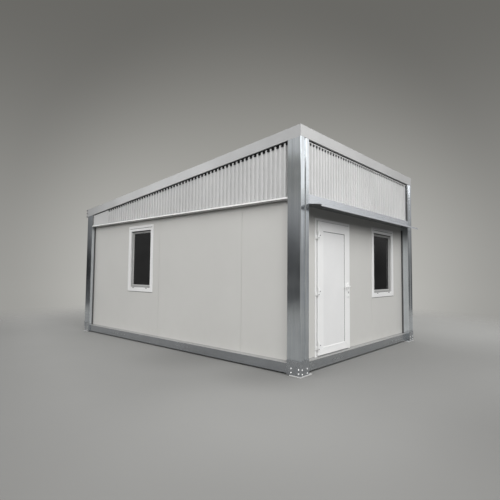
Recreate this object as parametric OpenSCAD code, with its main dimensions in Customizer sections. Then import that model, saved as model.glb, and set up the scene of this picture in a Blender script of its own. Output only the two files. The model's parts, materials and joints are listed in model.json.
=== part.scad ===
// Single-slope prefabricated cabin: a bolted steel frame on four corner feet, filled with
// sandwich panels, with corrugated cladding above, a PVC door that opens outwards and two windows.
//
// Frame: X runs along the door front to the right, Y from the door front to the rear, Z up.
// The front is -Y. The modules draw the cabin from its front left corner, and place() moves
// it so that the origin lies on the ground, in the middle of the overall plan.

/* [Overall] */
// Width over the corner posts, along the door front
width_x = 4120; // [3400:10:6000]
// Length over the corner posts, from front to rear
length_y = 6055; // [4800:5:9000]
// Height of the lower wall, from the ground to the underside of the cladding trim
wall_height = 2408; // [2400:1:2900]
// Height of the cladding strip above the lower wall at the rear, where it is lowest
rear_cladding_h = 261; // [160:1:700]
// Rise of the roof from the rear to the front
roof_rise = 590; // [250:5:1000]

/* [Steel frame] */
// Sheet thickness of the folded steel sections
steel_t = 4; // [3:0.5:6]
// Width of each post's face along the front and the rear
post_x = 207; // [160:1:260]
// Width of each post's face along the sides
post_y = 225; // [170:1:280]
// Height of the base beams
base_beam_h = 137; // [100:1:200]
// Height of the roof beams, which form the fascia
fascia_h = 166; // [120:1:220]
// Width of the roof beams' flanges
fascia_flange = 60; // [40:1:80]
// Set-back of the front base beam from the front face of the posts
front_beam_recess = 70; // [20:1:100]
// Set-back of the other base beams from the outer faces of the posts
side_beam_recess = 20; // [0:1:60]
// Distance from the front edge of a post to the pressed groove on its front face
post_groove_from_edge = 77; // [50:1:100]
// Width of the pressed groove
post_groove_w = 38; // [20:1:44]
// Depth of the pressed groove
post_groove_d = 12; // [4:1:20]

/* [Feet] */
// Gap from the ground to the underside of the base beams
ground_gap = 22; // [15:1:80]
// Thickness of each base plate
base_plate_t = 12; // [8:1:15]
// Distance that each base plate stands out past the post on the outside
base_plate_out = 10; // [5:1:40]
// Width of each base plate along the door front
base_plate_w = 280; // [240:1:340]
// Depth of each base plate along the long side
base_plate_d = 190; // [160:1:300]
// Height of the shoe that wraps the foot of each post, from the underside of the beams
shoe_h = 194; // [150:1:260]
// Thickness of the shoe's plates
shoe_t = 4; // [3:1:8]

/* [Roof sheet] */
// Height of the roof sheet with its ribs
roof_sheet_h = 40; // [25:1:45]
// Thickness of the flat tray between the ribs
roof_tray_t = 8; // [4:1:15]
// Distance between the ribs
roof_rib_pitch = 250; // [150:5:400]
// Width of a rib at its foot
roof_rib_foot = 70; // [40:1:100]
// Width of a rib at its top
roof_rib_top = 30; // [20:1:38]
// Depth of the ribs' tops below the top edge of the fascia
roof_drop = 15; // [8:1:25]

/* [Panels] */
// Thickness of the wall panels
wall_t = 60; // [40:1:80]
// Set-back of the front wall from the front face of the posts
front_recess = 147; // [120:1:180]
// Set-back of the left, right and rear walls from the outer faces of the posts
side_recess = 90; // [80:1:120]
// Thickness of the floor panel
floor_t = 100; // [60:1:120]
// Gap left where a piece seats against a sloping one
slope_fit = 0.1; // [0.05:0.05:1]
// Distance from the front corner to the first panel joint on each side wall
joint_front = 1162; // [600:1:1800]
// Distance from the rear corner to the last panel joint on each side wall
joint_rear = 2743; // [2700:1:2900]
// Width of a panel joint
joint_w = 5; // [2:0.5:8]
// Depth of a panel joint
joint_d = 4; // [2:0.5:8]

/* [Cladding] */
// Depth of the corrugated cladding's profile
cladding_t = 20; // [12:1:30]
// Thickness of the corrugated sheet, measured along the profile's depth
cladding_sheet_t = 2; // [1:0.5:4]
// Distance between the ridges of the front cladding
front_ridge_pitch = 80; // [60:1:140]
// Distance between the ridges of the side and rear cladding
side_ridge_pitch = 85.5; // [60:0.5:140]
// Width of a ridge's face
ridge_w = 30; // [16:1:34]
// Width of a ridge's sloping flank
ridge_flank = 9; // [4:1:12]
// Length of the flat sheet at the rear end of each side's cladding
flat_end = 676; // [300:1:1000]
// Set-back of the front cladding from the front face of the posts
cladding_recess_front = 35; // [10:1:60]
// Set-back of the side and rear cladding from the outer faces of the posts
cladding_recess_side = 25; // [8:1:45]
// Thickness of the trim under the side and rear cladding
trim_t = 3; // [2:0.5:6]
// Height of the trim's upstanding lip
trim_lip = 30; // [15:1:60]

/* [Lintel and canopy] */
// Height of the lintel above the door and window on the front
lintel_h = 134; // [90:1:160]
// Drop of the lintel's underside below the underside of the side trims
lintel_drop = 56; // [0:1:70]
// Set-back of the lintel from the front face of the posts
lintel_recess = 8; // [2:1:20]
// Projection of the canopy in front of the posts
canopy_out = 200; // [100:5:500]
// Fall of the canopy from the lintel to its front edge
canopy_fall = 26; // [5:1:60]
// Thickness of the canopy sheet
canopy_t = 3; // [2:0.5:6]
// Height of the canopy's folded front lip
canopy_lip = 30; // [15:1:60]

/* [Gutter] */
// Width of the rear gutter
gutter_w = 62; // [50:1:160]
// Height of the rear gutter
gutter_h = 90; // [60:1:110]
// Thickness of the gutter sheet
gutter_t = 3; // [2:0.5:5]
// Height of the gutter's end plates
gutter_end_h = 200; // [160:1:230]
// Drop of the end plates below the bottom of the gutter
gutter_end_drop = 40; // [0:1:50]

/* [Door] */
// Distance from the left corner of the front to the door frame
door_from_left = 577; // [320:1:900]
// Width of the door frame
door_w = 1062; // [880:1:1300]
// Height of the door frame
door_h = 2048; // [1900:1:2140]
// Width of the door frame's section
door_frame_w = 65; // [60:1:80]
// Depth of the door frame's section
door_frame_d = 70; // [65:1:90]
// Distance that frames stand out from the wall's outer face
frame_proud = 6; // [2:1:15]
// Height of the aluminium threshold
threshold_h = 15; // [8:1:25]
// Clearance all round the door leaf
leaf_gap = 5; // [5:0.5:8]
// Distance that the leaf's flange laps over the frame on each side
leaf_lap = 20; // [12:1:24]
// Thickness of the leaf's flange
leaf_flange_t = 15; // [10:1:25]
// Thickness of the leaf's body behind its flange
leaf_body_t = 55; // [40:1:60]
// Width of the leaf's stiles
stile_w = 159; // [120:1:180]
// Height of the leaf's bottom rail
bottom_rail_h = 110; // [90:1:200]
// Height of the leaf's top rail
top_rail_h = 144; // [90:1:200]
// Depth of the infill panel below the face of the stiles
panel_recess = 7; // [3:1:15]
// Thickness of the infill panel
panel_t = 36; // [20:1:45]

/* [Door furniture] */
// Radius of the hinge knuckles
knuckle_r = 9; // [8:0.5:12]
// Radius of the hinge pins
hinge_pin_r = 5; // [3:0.5:6]
// Radial clearance between a hinge pin and its bore
hinge_fit = 0.05; // [0.02:0.01:0.09]
// Height of each hinge
hinge_h = 115; // [80:1:140]
// Heights of the hinges' middles above the underside of the door frame
hinge_levels = [161, 953, 1788];
// Height of the lever's spindle above the underside of the door frame
lever_level = 1013; // [900:1:1100]
// Distance from the lock edge of the leaf's body to the lever's spindle
backset = 22; // [20:1:45]
// Length of the lever
lever_len = 135; // [90:1:150]
// Height of the handle's back plate
handle_plate_h = 240; // [160:1:260]
// Width of the handle's back plate
handle_plate_w = 32; // [26:1:40]
// Thickness of the handle's back plate
handle_plate_t = 10; // [6:1:14]
// Distance from the leaf's face to the middle of the lever
lever_out = 45; // [40:1:60]
// Radius of the lever's grip
lever_r = 9; // [7:0.5:11]

/* [Windows] */
// Width of the front window
front_window_w = 983; // [600:1:1200]
// Height of the front window
front_window_h = 1296; // [800:1:1300]
// Height of the front window's underside above the ground
front_window_sill = 950; // [850:1:1020]
// Distance from the right corner of the front to the front window
front_window_from_right = 646; // [320:1:700]
// Width of the left window
left_window_w = 870; // [600:5:1200]
// Height of the left window
left_window_h = 1328; // [800:5:1340]
// Height of the left window's underside above the ground
left_window_sill = 986; // [850:1:1030]
// Distance from the rear corner of the left side to the left window
left_window_from_rear = 1670; // [700:5:2000]
// Face width of a window frame's sides
window_side_w = 88; // [60:1:100]
// Face height of a window frame's bottom member
window_bottom_w = 82; // [60:1:100]
// Face height of a window frame's top member, which holds the vent
window_top_w = 105; // [80:1:130]
// Depth of a window frame's section
window_frame_d = 70; // [62:1:90]
// Width of the sash's section
sash_w = 50; // [35:1:70]
// Set-back of the sash from the face of the frame
sash_recess = 25; // [10:1:30]
// Set-back of the glass from the face of the sash
glass_recess = 26; // [10:1:28]
// Thickness of the glass
glass_t = 12; // [6:1:14]
// Height of the vent slot in the top member
vent_h = 9; // [5:1:14]
// Depth of the vent slot
vent_d = 10; // [5:1:20]

/* [Hidden] */
$fn = 48;
cut = 1;                   // how far a cutting shape runs past the face that it cuts

// levels above the ground
beam_bottom = ground_gap;
beam_top = ground_gap + base_beam_h;
lintel_bottom = wall_height - lintel_drop;
lintel_top = lintel_bottom + lintel_h;
rear_height = wall_height + rear_cladding_h + fascia_h;
front_height = rear_height + roof_rise;

// plan: insides of the walls, measured from the front left corner
room_x0 = side_recess + wall_t;
room_x1 = width_x - room_x0;
room_y0 = front_recess + wall_t;
room_y1 = length_y - side_recess - wall_t;
front_beam_w = room_y0 - front_beam_recess;
side_beam_w = room_x0 - side_beam_recess;

// door: left and right faces of the frame, faces of the frame and the leaf, hinge axis
door_x0 = door_from_left;
door_x1 = door_from_left + door_w;
door_top = beam_top + door_h;
door_face = front_recess - frame_proud;
leaf_back = door_face - leaf_gap;
leaf_face = leaf_back - leaf_flange_t;
leaf_x0 = door_x0 + door_frame_w - leaf_lap;
leaf_x1 = door_x1 - door_frame_w + leaf_lap;
leaf_bottom = beam_top + threshold_h + leaf_gap;
leaf_top = door_top - door_frame_w + leaf_lap;
panel_x0 = leaf_x0 + stile_w;
panel_x1 = leaf_x1 - stile_w;
panel_z0 = leaf_bottom + bottom_rail_h;
panel_z1 = leaf_top - top_rail_h;
hinge_flap_t = 6;          // thickness of the hinge leaves
hinge_reach = 45;          // length of a hinge leaf on the door
hinge_bridge = 10;         // width of the web between a knuckle and its leaf
knuckle_gap = 0.5;         // gap between a hinge's lower and upper knuckles
pin_len = 40;              // length of a hinge pin above the lower knuckle
pin_end_gap = 2;           // room left above a hinge pin
hinge_x = leaf_x0;
hinge_y = leaf_face - knuckle_r - hinge_flap_t;
// the leaf's body, whose rear edge on the lock side swings on a radius inside the frame
body_back = leaf_back + leaf_body_t;
body_x0 = door_x0 + door_frame_w + leaf_gap;
swing_r = door_x1 - door_frame_w - leaf_gap - hinge_x;
body_x1 = hinge_x + sqrt(pow(swing_r, 2) - pow(body_back - hinge_y, 2));
body_top = door_top - door_frame_w - leaf_gap;
lever_x = body_x1 - backset;
lever_neck_r = 8;          // radius of the neck that carries the lever

// windows: outer corners
front_window_x1 = width_x - front_window_from_right;
front_window_x0 = front_window_x1 - front_window_w;
left_window_y1 = length_y - left_window_from_rear;
left_window_y0 = left_window_y1 - left_window_w;

// plan offset that centres the overall footprint, from the canopy's lip to the gutter
plan_mid_y = (length_y + gutter_w - canopy_out) / 2;
// angle at which the roof falls to the rear
roof_slope = atan(roof_rise / length_y);

// height of the fascia's top edge at a distance y from the front
function roof_z(y) = front_height - roof_rise * y / length_y;
// height of the fascia's lower edge, on which the ceiling's underside lies
function eave_z(y) = roof_z(y) - fascia_h;
// height of the tops of the walls and posts
function wall_top_z(y) = eave_z(y) - slope_fit;

// moves a shape from the corner's coordinates to the part's frame
module place() {
    translate([-width_x / 2, -plan_mid_y, 0]) children();
}

// box between two opposite corners
module box(low, high) {
    translate(low) cube(high - low);
}

// prism along X between x0 and x1, from an outline of [y, z] points
module prism_x(x0, x1, outline) {
    translate([x0, 0, 0]) rotate([90, 0, 90]) linear_extrude(x1 - x0) polygon(outline);
}

// sloping slab under the roof: its top and its underside lie the given distances below the
// fascia's top edge
module roof_slab(x0, x1, y0, y1, top, under) {
    prism_x(x0, x1, [[y0, roof_z(y0) - under], [y1, roof_z(y1) - under],
                     [y1, roof_z(y1) - top], [y0, roof_z(y0) - top]]);
}

// wall slab whose top follows the roof beams' undersides
module sloped_wall(x0, x1, y0, y1, z0) {
    prism_x(x0, x1, [[y0, z0], [y1, z0], [y1, wall_top_z(y1)], [y0, wall_top_z(y0)]]);
}

// repeats a shape on the right-hand side of the cabin
module on_right() {
    translate([width_x, 0, 0]) mirror([1, 0, 0]) children();
}

// channel section in the plane, web on the left, flanges to the right
module channel(depth, height) {
    difference() {
        square([depth, height]);
        translate([steel_t, steel_t]) square([depth, height - 2 * steel_t]);
    }
}

// ---- base frame ----

module base_beam_front() {
    color("slategray") place()
        translate([post_x, front_beam_recess, beam_bottom])
            rotate([90, 0, 90]) linear_extrude(width_x - 2 * post_x)
                channel(front_beam_w, base_beam_h);
}

module base_beam_rear() {
    color("slategray") place()
        translate([width_x - post_x, length_y - side_beam_recess, beam_bottom])
            rotate([90, 0, -90]) linear_extrude(width_x - 2 * post_x)
                channel(side_beam_w, base_beam_h);
}

module side_base_beam() {
    translate([side_beam_recess, length_y - post_y, beam_bottom])
        rotate([90, 0, 0]) linear_extrude(length_y - 2 * post_y)
            channel(side_beam_w, base_beam_h);
}

module base_beam_left() {
    color("slategray") place() side_base_beam();
}

module base_beam_right() {
    color("slategray") place() on_right() side_base_beam();
}

// base plate with the shoe's two plates on the outside of the post
module corner_foot() {
    out = base_plate_out;
    box([-out, -out, 0], [base_plate_w - out, base_plate_d - out, base_plate_t]);
    box([-shoe_t, -shoe_t, base_plate_t], [0, post_y, beam_bottom + shoe_h]);
    box([-shoe_t, -shoe_t, base_plate_t], [post_x, 0, beam_bottom + shoe_h]);
}

module at_rear() {
    translate([0, length_y, 0]) mirror([0, 1, 0]) children();
}

module foot_front_left() {
    color("silver") place() corner_foot();
}

module foot_front_right() {
    color("silver") place() on_right() corner_foot();
}

module foot_rear_left() {
    color("silver") place() at_rear() corner_foot();
}

module foot_rear_right() {
    color("silver") place() on_right() at_rear() corner_foot();
}

// ---- posts ----

// outline of a post: two outer faces, a pressed groove, and two returns that meet the walls
module post_profile(return_y) {
    t = steel_t;
    g1 = post_x - post_groove_from_edge;
    g0 = g1 - post_groove_w;
    d = post_groove_d;
    polygon([[0, 0], [g0, 0], [g0 + d / 2, d], [g1 - d / 2, d], [g1, 0], [post_x, 0],
             [post_x, return_y], [post_x - t, return_y], [post_x - t, t], [g1 + t / 2, t],
             [g1 - d / 2 + t / 2, d + t], [g0 + d / 2 - t / 2, d + t], [g0 - t / 2, t], [t, t],
             [t, post_y - t], [side_recess, post_y - t], [side_recess, post_y], [0, post_y]]);
}

// region under the roof beams, which cuts the posts' tops to the roof's slope
module under_roof() {
    prism_x(-cut, width_x + cut, [[0, 0], [length_y, 0], [length_y, wall_top_z(length_y)],
                                  [0, wall_top_z(0)]]);
}

module front_post() {
    intersection() {
        translate([0, 0, base_plate_t]) linear_extrude(front_height) post_profile(front_recess);
        under_roof();
    }
}

module rear_post() {
    intersection() {
        at_rear() translate([0, 0, base_plate_t]) linear_extrude(front_height)
            post_profile(side_recess);
        under_roof();
    }
}

module post_front_left() {
    color("lightsteelblue") place() front_post();
}

module post_front_right() {
    color("lightsteelblue") place() on_right() front_post();
}

module post_rear_left() {
    color("lightsteelblue") place() rear_post();
}

module post_rear_right() {
    color("lightsteelblue") place() on_right() rear_post();
}

// ---- roof ----

// front fascia, a channel between the webs of the side fascias
module roof_beam_front() {
    color("gainsboro") place()
        translate([steel_t, 0, front_height - fascia_h])
            rotate([90, 0, 90]) linear_extrude(width_x - 2 * steel_t)
                channel(fascia_flange, fascia_h);
}

// rear fascia, low enough for the roof sheet to pass over it into the gutter
module roof_beam_rear() {
    low = eave_z(length_y - fascia_flange);
    high = roof_z(length_y) - roof_drop - roof_sheet_h - slope_fit;
    color("gainsboro") place()
        translate([width_x - steel_t, length_y, low])
            rotate([90, 0, -90]) linear_extrude(width_x - 2 * steel_t)
                channel(fascia_flange, high - low);
}

// sloping side fascia: a web over the full length, and flanges between the front and rear beams
module side_roof_beam() {
    y0 = fascia_flange;
    y1 = length_y - fascia_flange;
    roof_slab(0, steel_t, 0, length_y, 0, fascia_h);
    roof_slab(0, fascia_flange, y0, y1, 0, steel_t);
    roof_slab(0, fascia_flange, y0, y1, fascia_h - steel_t, fascia_h);
}

module roof_beam_left() {
    color("gainsboro") place() side_roof_beam();
}

module roof_beam_right() {
    color("gainsboro") place() on_right() side_roof_beam();
}

// section of the roof sheet, square to its slope: a flat tray with trapezoidal ribs
module roof_section() {
    w = width_x - 2 * (steel_t + slope_fit);
    count = 1 + floor((w - roof_rib_foot) / roof_rib_pitch);
    first = (w - (count - 1) * roof_rib_pitch) / 2;
    tray = roof_tray_t * cos(roof_slope);
    rib = roof_sheet_h * cos(roof_slope);
    polygon(concat(
        [[0, 0], [0, tray]],
        [for (i = [0 : count - 1],
              p = [[-roof_rib_foot / 2, tray], [-roof_rib_top / 2, rib],
                   [roof_rib_top / 2, rib], [roof_rib_foot / 2, tray]])
            p + [first + i * roof_rib_pitch, 0]],
        [[w, tray], [w, 0]]));
}

// ribbed sheet that falls to the rear and ends over the middle of the gutter
module roof_sheet() {
    run = (length_y + gutter_w) / cos(roof_slope);
    color("lightgray") place() intersection() {
        box([0, fascia_flange, 0], [width_x, length_y + gutter_w / 2, front_height]);
        translate([steel_t + slope_fit, 0, roof_z(0) - roof_drop - roof_sheet_h])
            rotate([90 - roof_slope, 0, 0])
                translate([0, 0, -run]) linear_extrude(run) roof_section();
    }
}

// open trough behind the rear beam, closed by a tall plate at each end
module rear_gutter() {
    top = roof_z(length_y + gutter_w) - roof_drop - roof_sheet_h;
    low = top - gutter_h;
    plate_low = low - gutter_end_drop;
    color("gainsboro") place() translate([0, length_y, 0]) {
        difference() {
            box([0, 0, low], [width_x, gutter_w, top]);
            box([gutter_t, gutter_t, low + gutter_t],
                [width_x - gutter_t, gutter_w - gutter_t, top + cut]);
        }
        for (x = [0, width_x - gutter_t])
            box([x, 0, plate_low], [x + gutter_t, gutter_w, plate_low + gutter_end_h]);
    }
}

module ceiling_panel() {
    color("whitesmoke") place()
        roof_slab(fascia_flange, width_x - fascia_flange, fascia_flange,
                  length_y - fascia_flange, roof_drop + roof_sheet_h + slope_fit, fascia_h);
}

module floor_panel() {
    color("tan") place()
        box([room_x0, room_y0, beam_top - floor_t], [room_x1, room_y1, beam_top]);
}

// ---- walls ----

module front_wall_left() {
    color("beige") place()
        sloped_wall(side_recess, door_x0, front_recess, room_y0, beam_top);
}

module front_wall_over_door() {
    color("beige") place() sloped_wall(door_x0, door_x1, front_recess, room_y0, door_top);
}

// wall to the right of the door, with a panel joint along the window's left side
module front_wall_right() {
    color("beige") place() difference() {
        sloped_wall(door_x1, width_x - side_recess, front_recess, room_y0, beam_top);
        box([front_window_x0 - joint_w, front_recess - cut, beam_top - cut],
            [front_window_x0, front_recess + joint_d, front_height]);
        box([front_window_x0, front_recess - cut, front_window_sill],
            [front_window_x1, room_y0 + cut, front_window_sill + front_window_h]);
    }
}

// side wall with its two panel joints as shallow grooves in the outer face
module side_wall() {
    difference() {
        sloped_wall(side_recess, room_x0, room_y0, room_y1, beam_top);
        for (y = [joint_front, length_y - joint_rear])
            box([side_recess - cut, y - joint_w / 2, beam_top - cut],
                [side_recess + joint_d, y + joint_w / 2, front_height]);
    }
}

module left_wall() {
    color("beige") place() difference() {
        side_wall();
        box([side_recess - cut, left_window_y0, left_window_sill],
            [room_x0 + cut, left_window_y1, left_window_sill + left_window_h]);
    }
}

module right_wall() {
    color("beige") place() on_right() side_wall();
}

module rear_wall() {
    color("beige") place()
        sloped_wall(side_recess, width_x - side_recess, room_y1, length_y - side_recess,
                    beam_top);
}

// ---- cladding ----

// points along the face of a corrugated sheet, with its ridges on y = 0 and its valleys at
// y = depth; a sheet may start with a flat stretch level with the ridges
function ridge_line(length, pitch, depth, flat) =
    let (start = flat > 0 ? flat + ridge_flank : 0,
         count = floor((length - start) / pitch),
         first = start + (length - start - (count - 1) * pitch) / 2,
         half = ridge_w / 2)
    concat(flat > 0 ? [[0, 0], [flat, 0]] : [],
           [[start, depth]],
           [for (i = [0 : count - 1],
                 p = [[-half - ridge_flank, depth], [-half, 0],
                      [half, 0], [half + ridge_flank, depth]])
               p + [first + i * pitch, 0]],
           [[length, depth]]);

// corrugated sheet that stands upright along X, with its ridges towards -Y
module corrugated_sheet(length, pitch, height, flat = 0) {
    line = ridge_line(length, pitch, cladding_t - cladding_sheet_t, flat);
    back = [for (i = [len(line) - 1 : -1 : 0]) line[i] + [0, cladding_sheet_t]];
    linear_extrude(height) polygon(concat(line, back));
}

module cladding_front() {
    color("lightgray") place() translate([post_x, cladding_recess_front, lintel_top])
        corrugated_sheet(width_x - 2 * post_x, front_ridge_pitch,
                         front_height - fascia_h - lintel_top);
}

module cladding_rear() {
    low = wall_height + trim_t;
    color("lightgray") place()
        translate([width_x - post_x, length_y - cladding_recess_side, low])
            rotate([0, 0, 180])
                corrugated_sheet(width_x - 2 * post_x, side_ridge_pitch,
                                 eave_z(length_y - fascia_flange) - low);
}

// sheet with its flat stretch at the rear, cut along the roof's slope
module side_cladding() {
    x0 = cladding_recess_side;
    intersection() {
        sloped_wall(x0, x0 + cladding_t, post_y, length_y - post_y, wall_height + trim_t);
        translate([x0, length_y - post_y, 0]) rotate([0, 0, -90])
            corrugated_sheet(length_y - 2 * post_y, side_ridge_pitch, front_height, flat_end);
    }
}

module cladding_left() {
    color("lightgray") place() side_cladding();
}

module cladding_right() {
    color("lightgray") place() on_right() side_cladding();
}

// angle trim under a run of cladding: a shelf from the wall to the face, and a lip
module trim_profile() {
    square([side_recess, trim_t]);
    square([trim_t, trim_lip]);
}

module side_trim() {
    translate([0, length_y - post_y, wall_height]) rotate([90, 0, 0])
        linear_extrude(length_y - 2 * post_y) trim_profile();
}

module cladding_trims() {
    color("white") place() {
        side_trim();
        on_right() side_trim();
        translate([width_x - post_x, length_y, wall_height]) rotate([90, 0, -90])
            linear_extrude(width_x - 2 * post_x) trim_profile();
    }
}

// ---- lintel and canopy ----

// box beam between the front posts, under the cladding and in front of the wall
module front_lintel() {
    color("lightsteelblue") place()
        box([post_x, lintel_recess, lintel_bottom], [width_x - post_x, front_recess, lintel_top]);
}

// folded sheet under the lintel: a flat part behind, a falling part in front, and a lip
module canopy() {
    t = canopy_t;
    edge = lintel_bottom - canopy_fall;
    color("silver") place()
        prism_x(post_x, width_x - post_x,
                [[front_recess, lintel_bottom], [lintel_recess, lintel_bottom],
                 [-canopy_out, edge], [-canopy_out, edge - canopy_lip],
                 [-canopy_out + t, edge - canopy_lip], [-canopy_out + t, edge - t],
                 [lintel_recess, lintel_bottom - t], [front_recess, lintel_bottom - t]]);
}

// ---- door ----

module door_frame() {
    w = door_frame_w;
    color("white") place() difference() {
        box([door_x0, door_face, beam_top], [door_x1, door_face + door_frame_d, door_top]);
        box([door_x0 + w, door_face - cut, beam_top - cut],
            [door_x1 - w, door_face + door_frame_d + cut, door_top - w]);
    }
}

module door_threshold() {
    w = door_frame_w;
    color("silver") place()
        box([door_x0 + w, door_face, beam_top],
            [door_x1 - w, door_face + door_frame_d, beam_top + threshold_h]);
}

// lower half of each hinge, on the frame: leaf, web, knuckle and pin
module frame_hinge(z) {
    r = knuckle_r;
    low = z - hinge_h / 2;
    high = z - knuckle_gap / 2;
    web_x = hinge_x - leaf_gap - hinge_bridge;
    box([door_x0 + frame_proud, door_face - hinge_flap_t, low],
        [web_x + hinge_bridge, door_face, high]);
    box([web_x, hinge_y - r / 2, low], [web_x + hinge_bridge, door_face, high]);
    translate([hinge_x, hinge_y, low]) cylinder(r = r, h = high - low);
    translate([hinge_x, hinge_y, low]) cylinder(r = hinge_pin_r, h = high - low + pin_len);
}

// upper half of each hinge, on the leaf: leaf, web and bored knuckle
module leaf_hinge(z) {
    r = knuckle_r;
    low = z + knuckle_gap / 2;
    high = z + hinge_h / 2;
    difference() {
        union() {
            translate([hinge_x, hinge_y, low]) cylinder(r = r, h = high - low);
            box([hinge_x, hinge_y, low], [hinge_x + hinge_bridge, leaf_face, high]);
            box([hinge_x, leaf_face - hinge_flap_t, low],
                [hinge_x + hinge_reach, leaf_face, high]);
        }
        translate([hinge_x, hinge_y, low - cut])
            cylinder(r = hinge_pin_r + hinge_fit, h = pin_len + pin_end_gap + cut);
    }
}

module door_hinge_pins() {
    color("white") place() for (level = hinge_levels) frame_hinge(beam_top + level);
}

module door_hinge_knuckles() {
    color("white") place() for (level = hinge_levels) leaf_hinge(beam_top + level);
}

// leaf with its flange in front of the frame, its body inside it, and a hole for the panel
module door_leaf() {
    color("white") place() difference() {
        union() {
            box([leaf_x0, leaf_face, leaf_bottom], [leaf_x1, leaf_back, leaf_top]);
            box([body_x0, leaf_face, leaf_bottom], [body_x1, body_back, body_top]);
        }
        box([panel_x0, leaf_face - cut, panel_z0], [panel_x1, body_back + cut, panel_z1]);
    }
}

module door_panel() {
    y0 = leaf_face + panel_recess;
    color("ghostwhite") place()
        box([panel_x0, y0, panel_z0], [panel_x1, y0 + panel_t, panel_z1]);
}

// back plate, neck and lever, drawn on the plane y = 0 and standing out towards -Y
module handle() {
    w = handle_plate_w;
    below = handle_plate_h * 3 / 4;
    translate([-w / 2, -handle_plate_t, -below]) cube([w, handle_plate_t, handle_plate_h]);
    rotate([90, 0, 0]) cylinder(r = lever_neck_r, h = lever_out);
    translate([0, -lever_out, 0]) {
        rotate([0, -90, 0]) cylinder(r = lever_r, h = lever_len);
        sphere(r = lever_r);
    }
}

module door_handle_outside() {
    color("white") place() translate([lever_x, leaf_face, beam_top + lever_level]) handle();
}

module door_handle_inside() {
    color("white") place()
        translate([lever_x, body_back, beam_top + lever_level])
            mirror([0, 1, 0]) handle();
}

// ---- windows ----

// frame and sash in one, drawn in the XZ plane with the frame's face on y = 0 and its lower
// left corner at the origin
module window_frame(w, h) {
    side = window_side_w;
    low = window_bottom_w;
    high = h - window_top_w;
    slot_z = (h + high) / 2;
    difference() {
        cube([w, window_frame_d, h]);
        box([side, -cut, low], [w - side, sash_recess, high]);
        box([side + sash_w, -cut, low + sash_w],
            [w - side - sash_w, window_frame_d + cut, high - sash_w]);
        box([side / 2, -cut, slot_z - vent_h / 2], [w - side / 2, vent_d, slot_z + vent_h / 2]);
    }
}

module window_glass(w, h) {
    inset_x = window_side_w + sash_w;
    y0 = sash_recess + glass_recess;
    box([inset_x, y0, window_bottom_w + sash_w],
        [w - inset_x, y0 + glass_t, h - window_top_w - sash_w]);
}

module in_front_wall() {
    translate([front_window_x0, front_recess - frame_proud, front_window_sill]) children();
}

module in_left_wall() {
    translate([side_recess - frame_proud, left_window_y1, left_window_sill])
        rotate([0, 0, -90]) children();
}

module front_window_frame() {
    color("white") place() in_front_wall() window_frame(front_window_w, front_window_h);
}

module front_window_glass() {
    color("dimgray", 0.5) place() in_front_wall() window_glass(front_window_w, front_window_h);
}

module left_window_frame() {
    color("white") place() in_left_wall() window_frame(left_window_w, left_window_h);
}

module left_window_glass() {
    color("dimgray", 0.5) place() in_left_wall() window_glass(left_window_w, left_window_h);
}

base_beam_front();
base_beam_rear();
base_beam_left();
base_beam_right();
foot_front_left();
foot_front_right();
foot_rear_left();
foot_rear_right();
post_front_left();
post_front_right();
post_rear_left();
post_rear_right();
roof_beam_front();
roof_beam_rear();
roof_beam_left();
roof_beam_right();
roof_sheet();
rear_gutter();
ceiling_panel();
floor_panel();
front_wall_left();
front_wall_over_door();
front_wall_right();
left_wall();
right_wall();
rear_wall();
cladding_front();
cladding_rear();
cladding_left();
cladding_right();
cladding_trims();
front_lintel();
canopy();
door_frame();
door_threshold();
door_hinge_pins();
door_leaf();
door_panel();
door_hinge_knuckles();
door_handle_outside();
door_handle_inside();
front_window_frame();
front_window_glass();
left_window_frame();
left_window_glass();
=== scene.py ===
"""Looks of a single-slope prefabricated cabin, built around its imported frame.

Sizes are in metres, in the frame's own axes: +X to the right along the door front, +Y to the
rear and +Z up from the ground. Each sub-assembly is a class that holds its sizes, makes its own
pieces and dresses the pieces that come from the frame.
"""

import json
import logging
import math
from dataclasses import dataclass
from enum import Enum
from typing import Callable, Sequence, Union

import bmesh
import bpy
from mathutils import Matrix, Vector


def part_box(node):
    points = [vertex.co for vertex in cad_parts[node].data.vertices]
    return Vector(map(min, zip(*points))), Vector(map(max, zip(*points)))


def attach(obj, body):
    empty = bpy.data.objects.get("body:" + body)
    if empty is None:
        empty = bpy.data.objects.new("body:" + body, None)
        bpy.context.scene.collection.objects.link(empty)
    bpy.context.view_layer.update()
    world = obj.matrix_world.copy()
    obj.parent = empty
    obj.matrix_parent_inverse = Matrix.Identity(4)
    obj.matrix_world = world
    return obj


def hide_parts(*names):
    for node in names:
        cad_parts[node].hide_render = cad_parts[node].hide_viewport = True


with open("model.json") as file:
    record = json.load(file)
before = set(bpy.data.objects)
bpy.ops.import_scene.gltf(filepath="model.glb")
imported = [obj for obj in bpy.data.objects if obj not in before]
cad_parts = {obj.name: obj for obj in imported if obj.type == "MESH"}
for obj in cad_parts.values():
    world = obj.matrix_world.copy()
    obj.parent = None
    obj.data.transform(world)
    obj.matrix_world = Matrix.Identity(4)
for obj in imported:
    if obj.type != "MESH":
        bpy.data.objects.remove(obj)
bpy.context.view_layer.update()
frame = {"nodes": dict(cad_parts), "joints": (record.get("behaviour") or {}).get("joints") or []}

log = logging.getLogger("cabin")

Point = tuple[float, float]
Triple = tuple[float, float, float]
Colour = tuple[float, float, float]
Row = tuple[float, ...]
Profile = tuple[Point, ...]
End = Union[float, Callable[[float, float], float]]
Socket = bpy.types.NodeSocket
Value = Union[float, Sequence[float], Socket]

CABIN = "cabin"
DOOR = "door"


class Axis(Enum):
    """One of the frame's axes; the value is its index."""

    X = 0
    Y = 1
    Z = 2


class Side(Enum):
    """A member of a four-sided frame; the value is the index of its first corner."""

    BOTTOM = 0
    RIGHT = 1
    TOP = 2
    LEFT = 3


# ---- shader wiring ----


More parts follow.
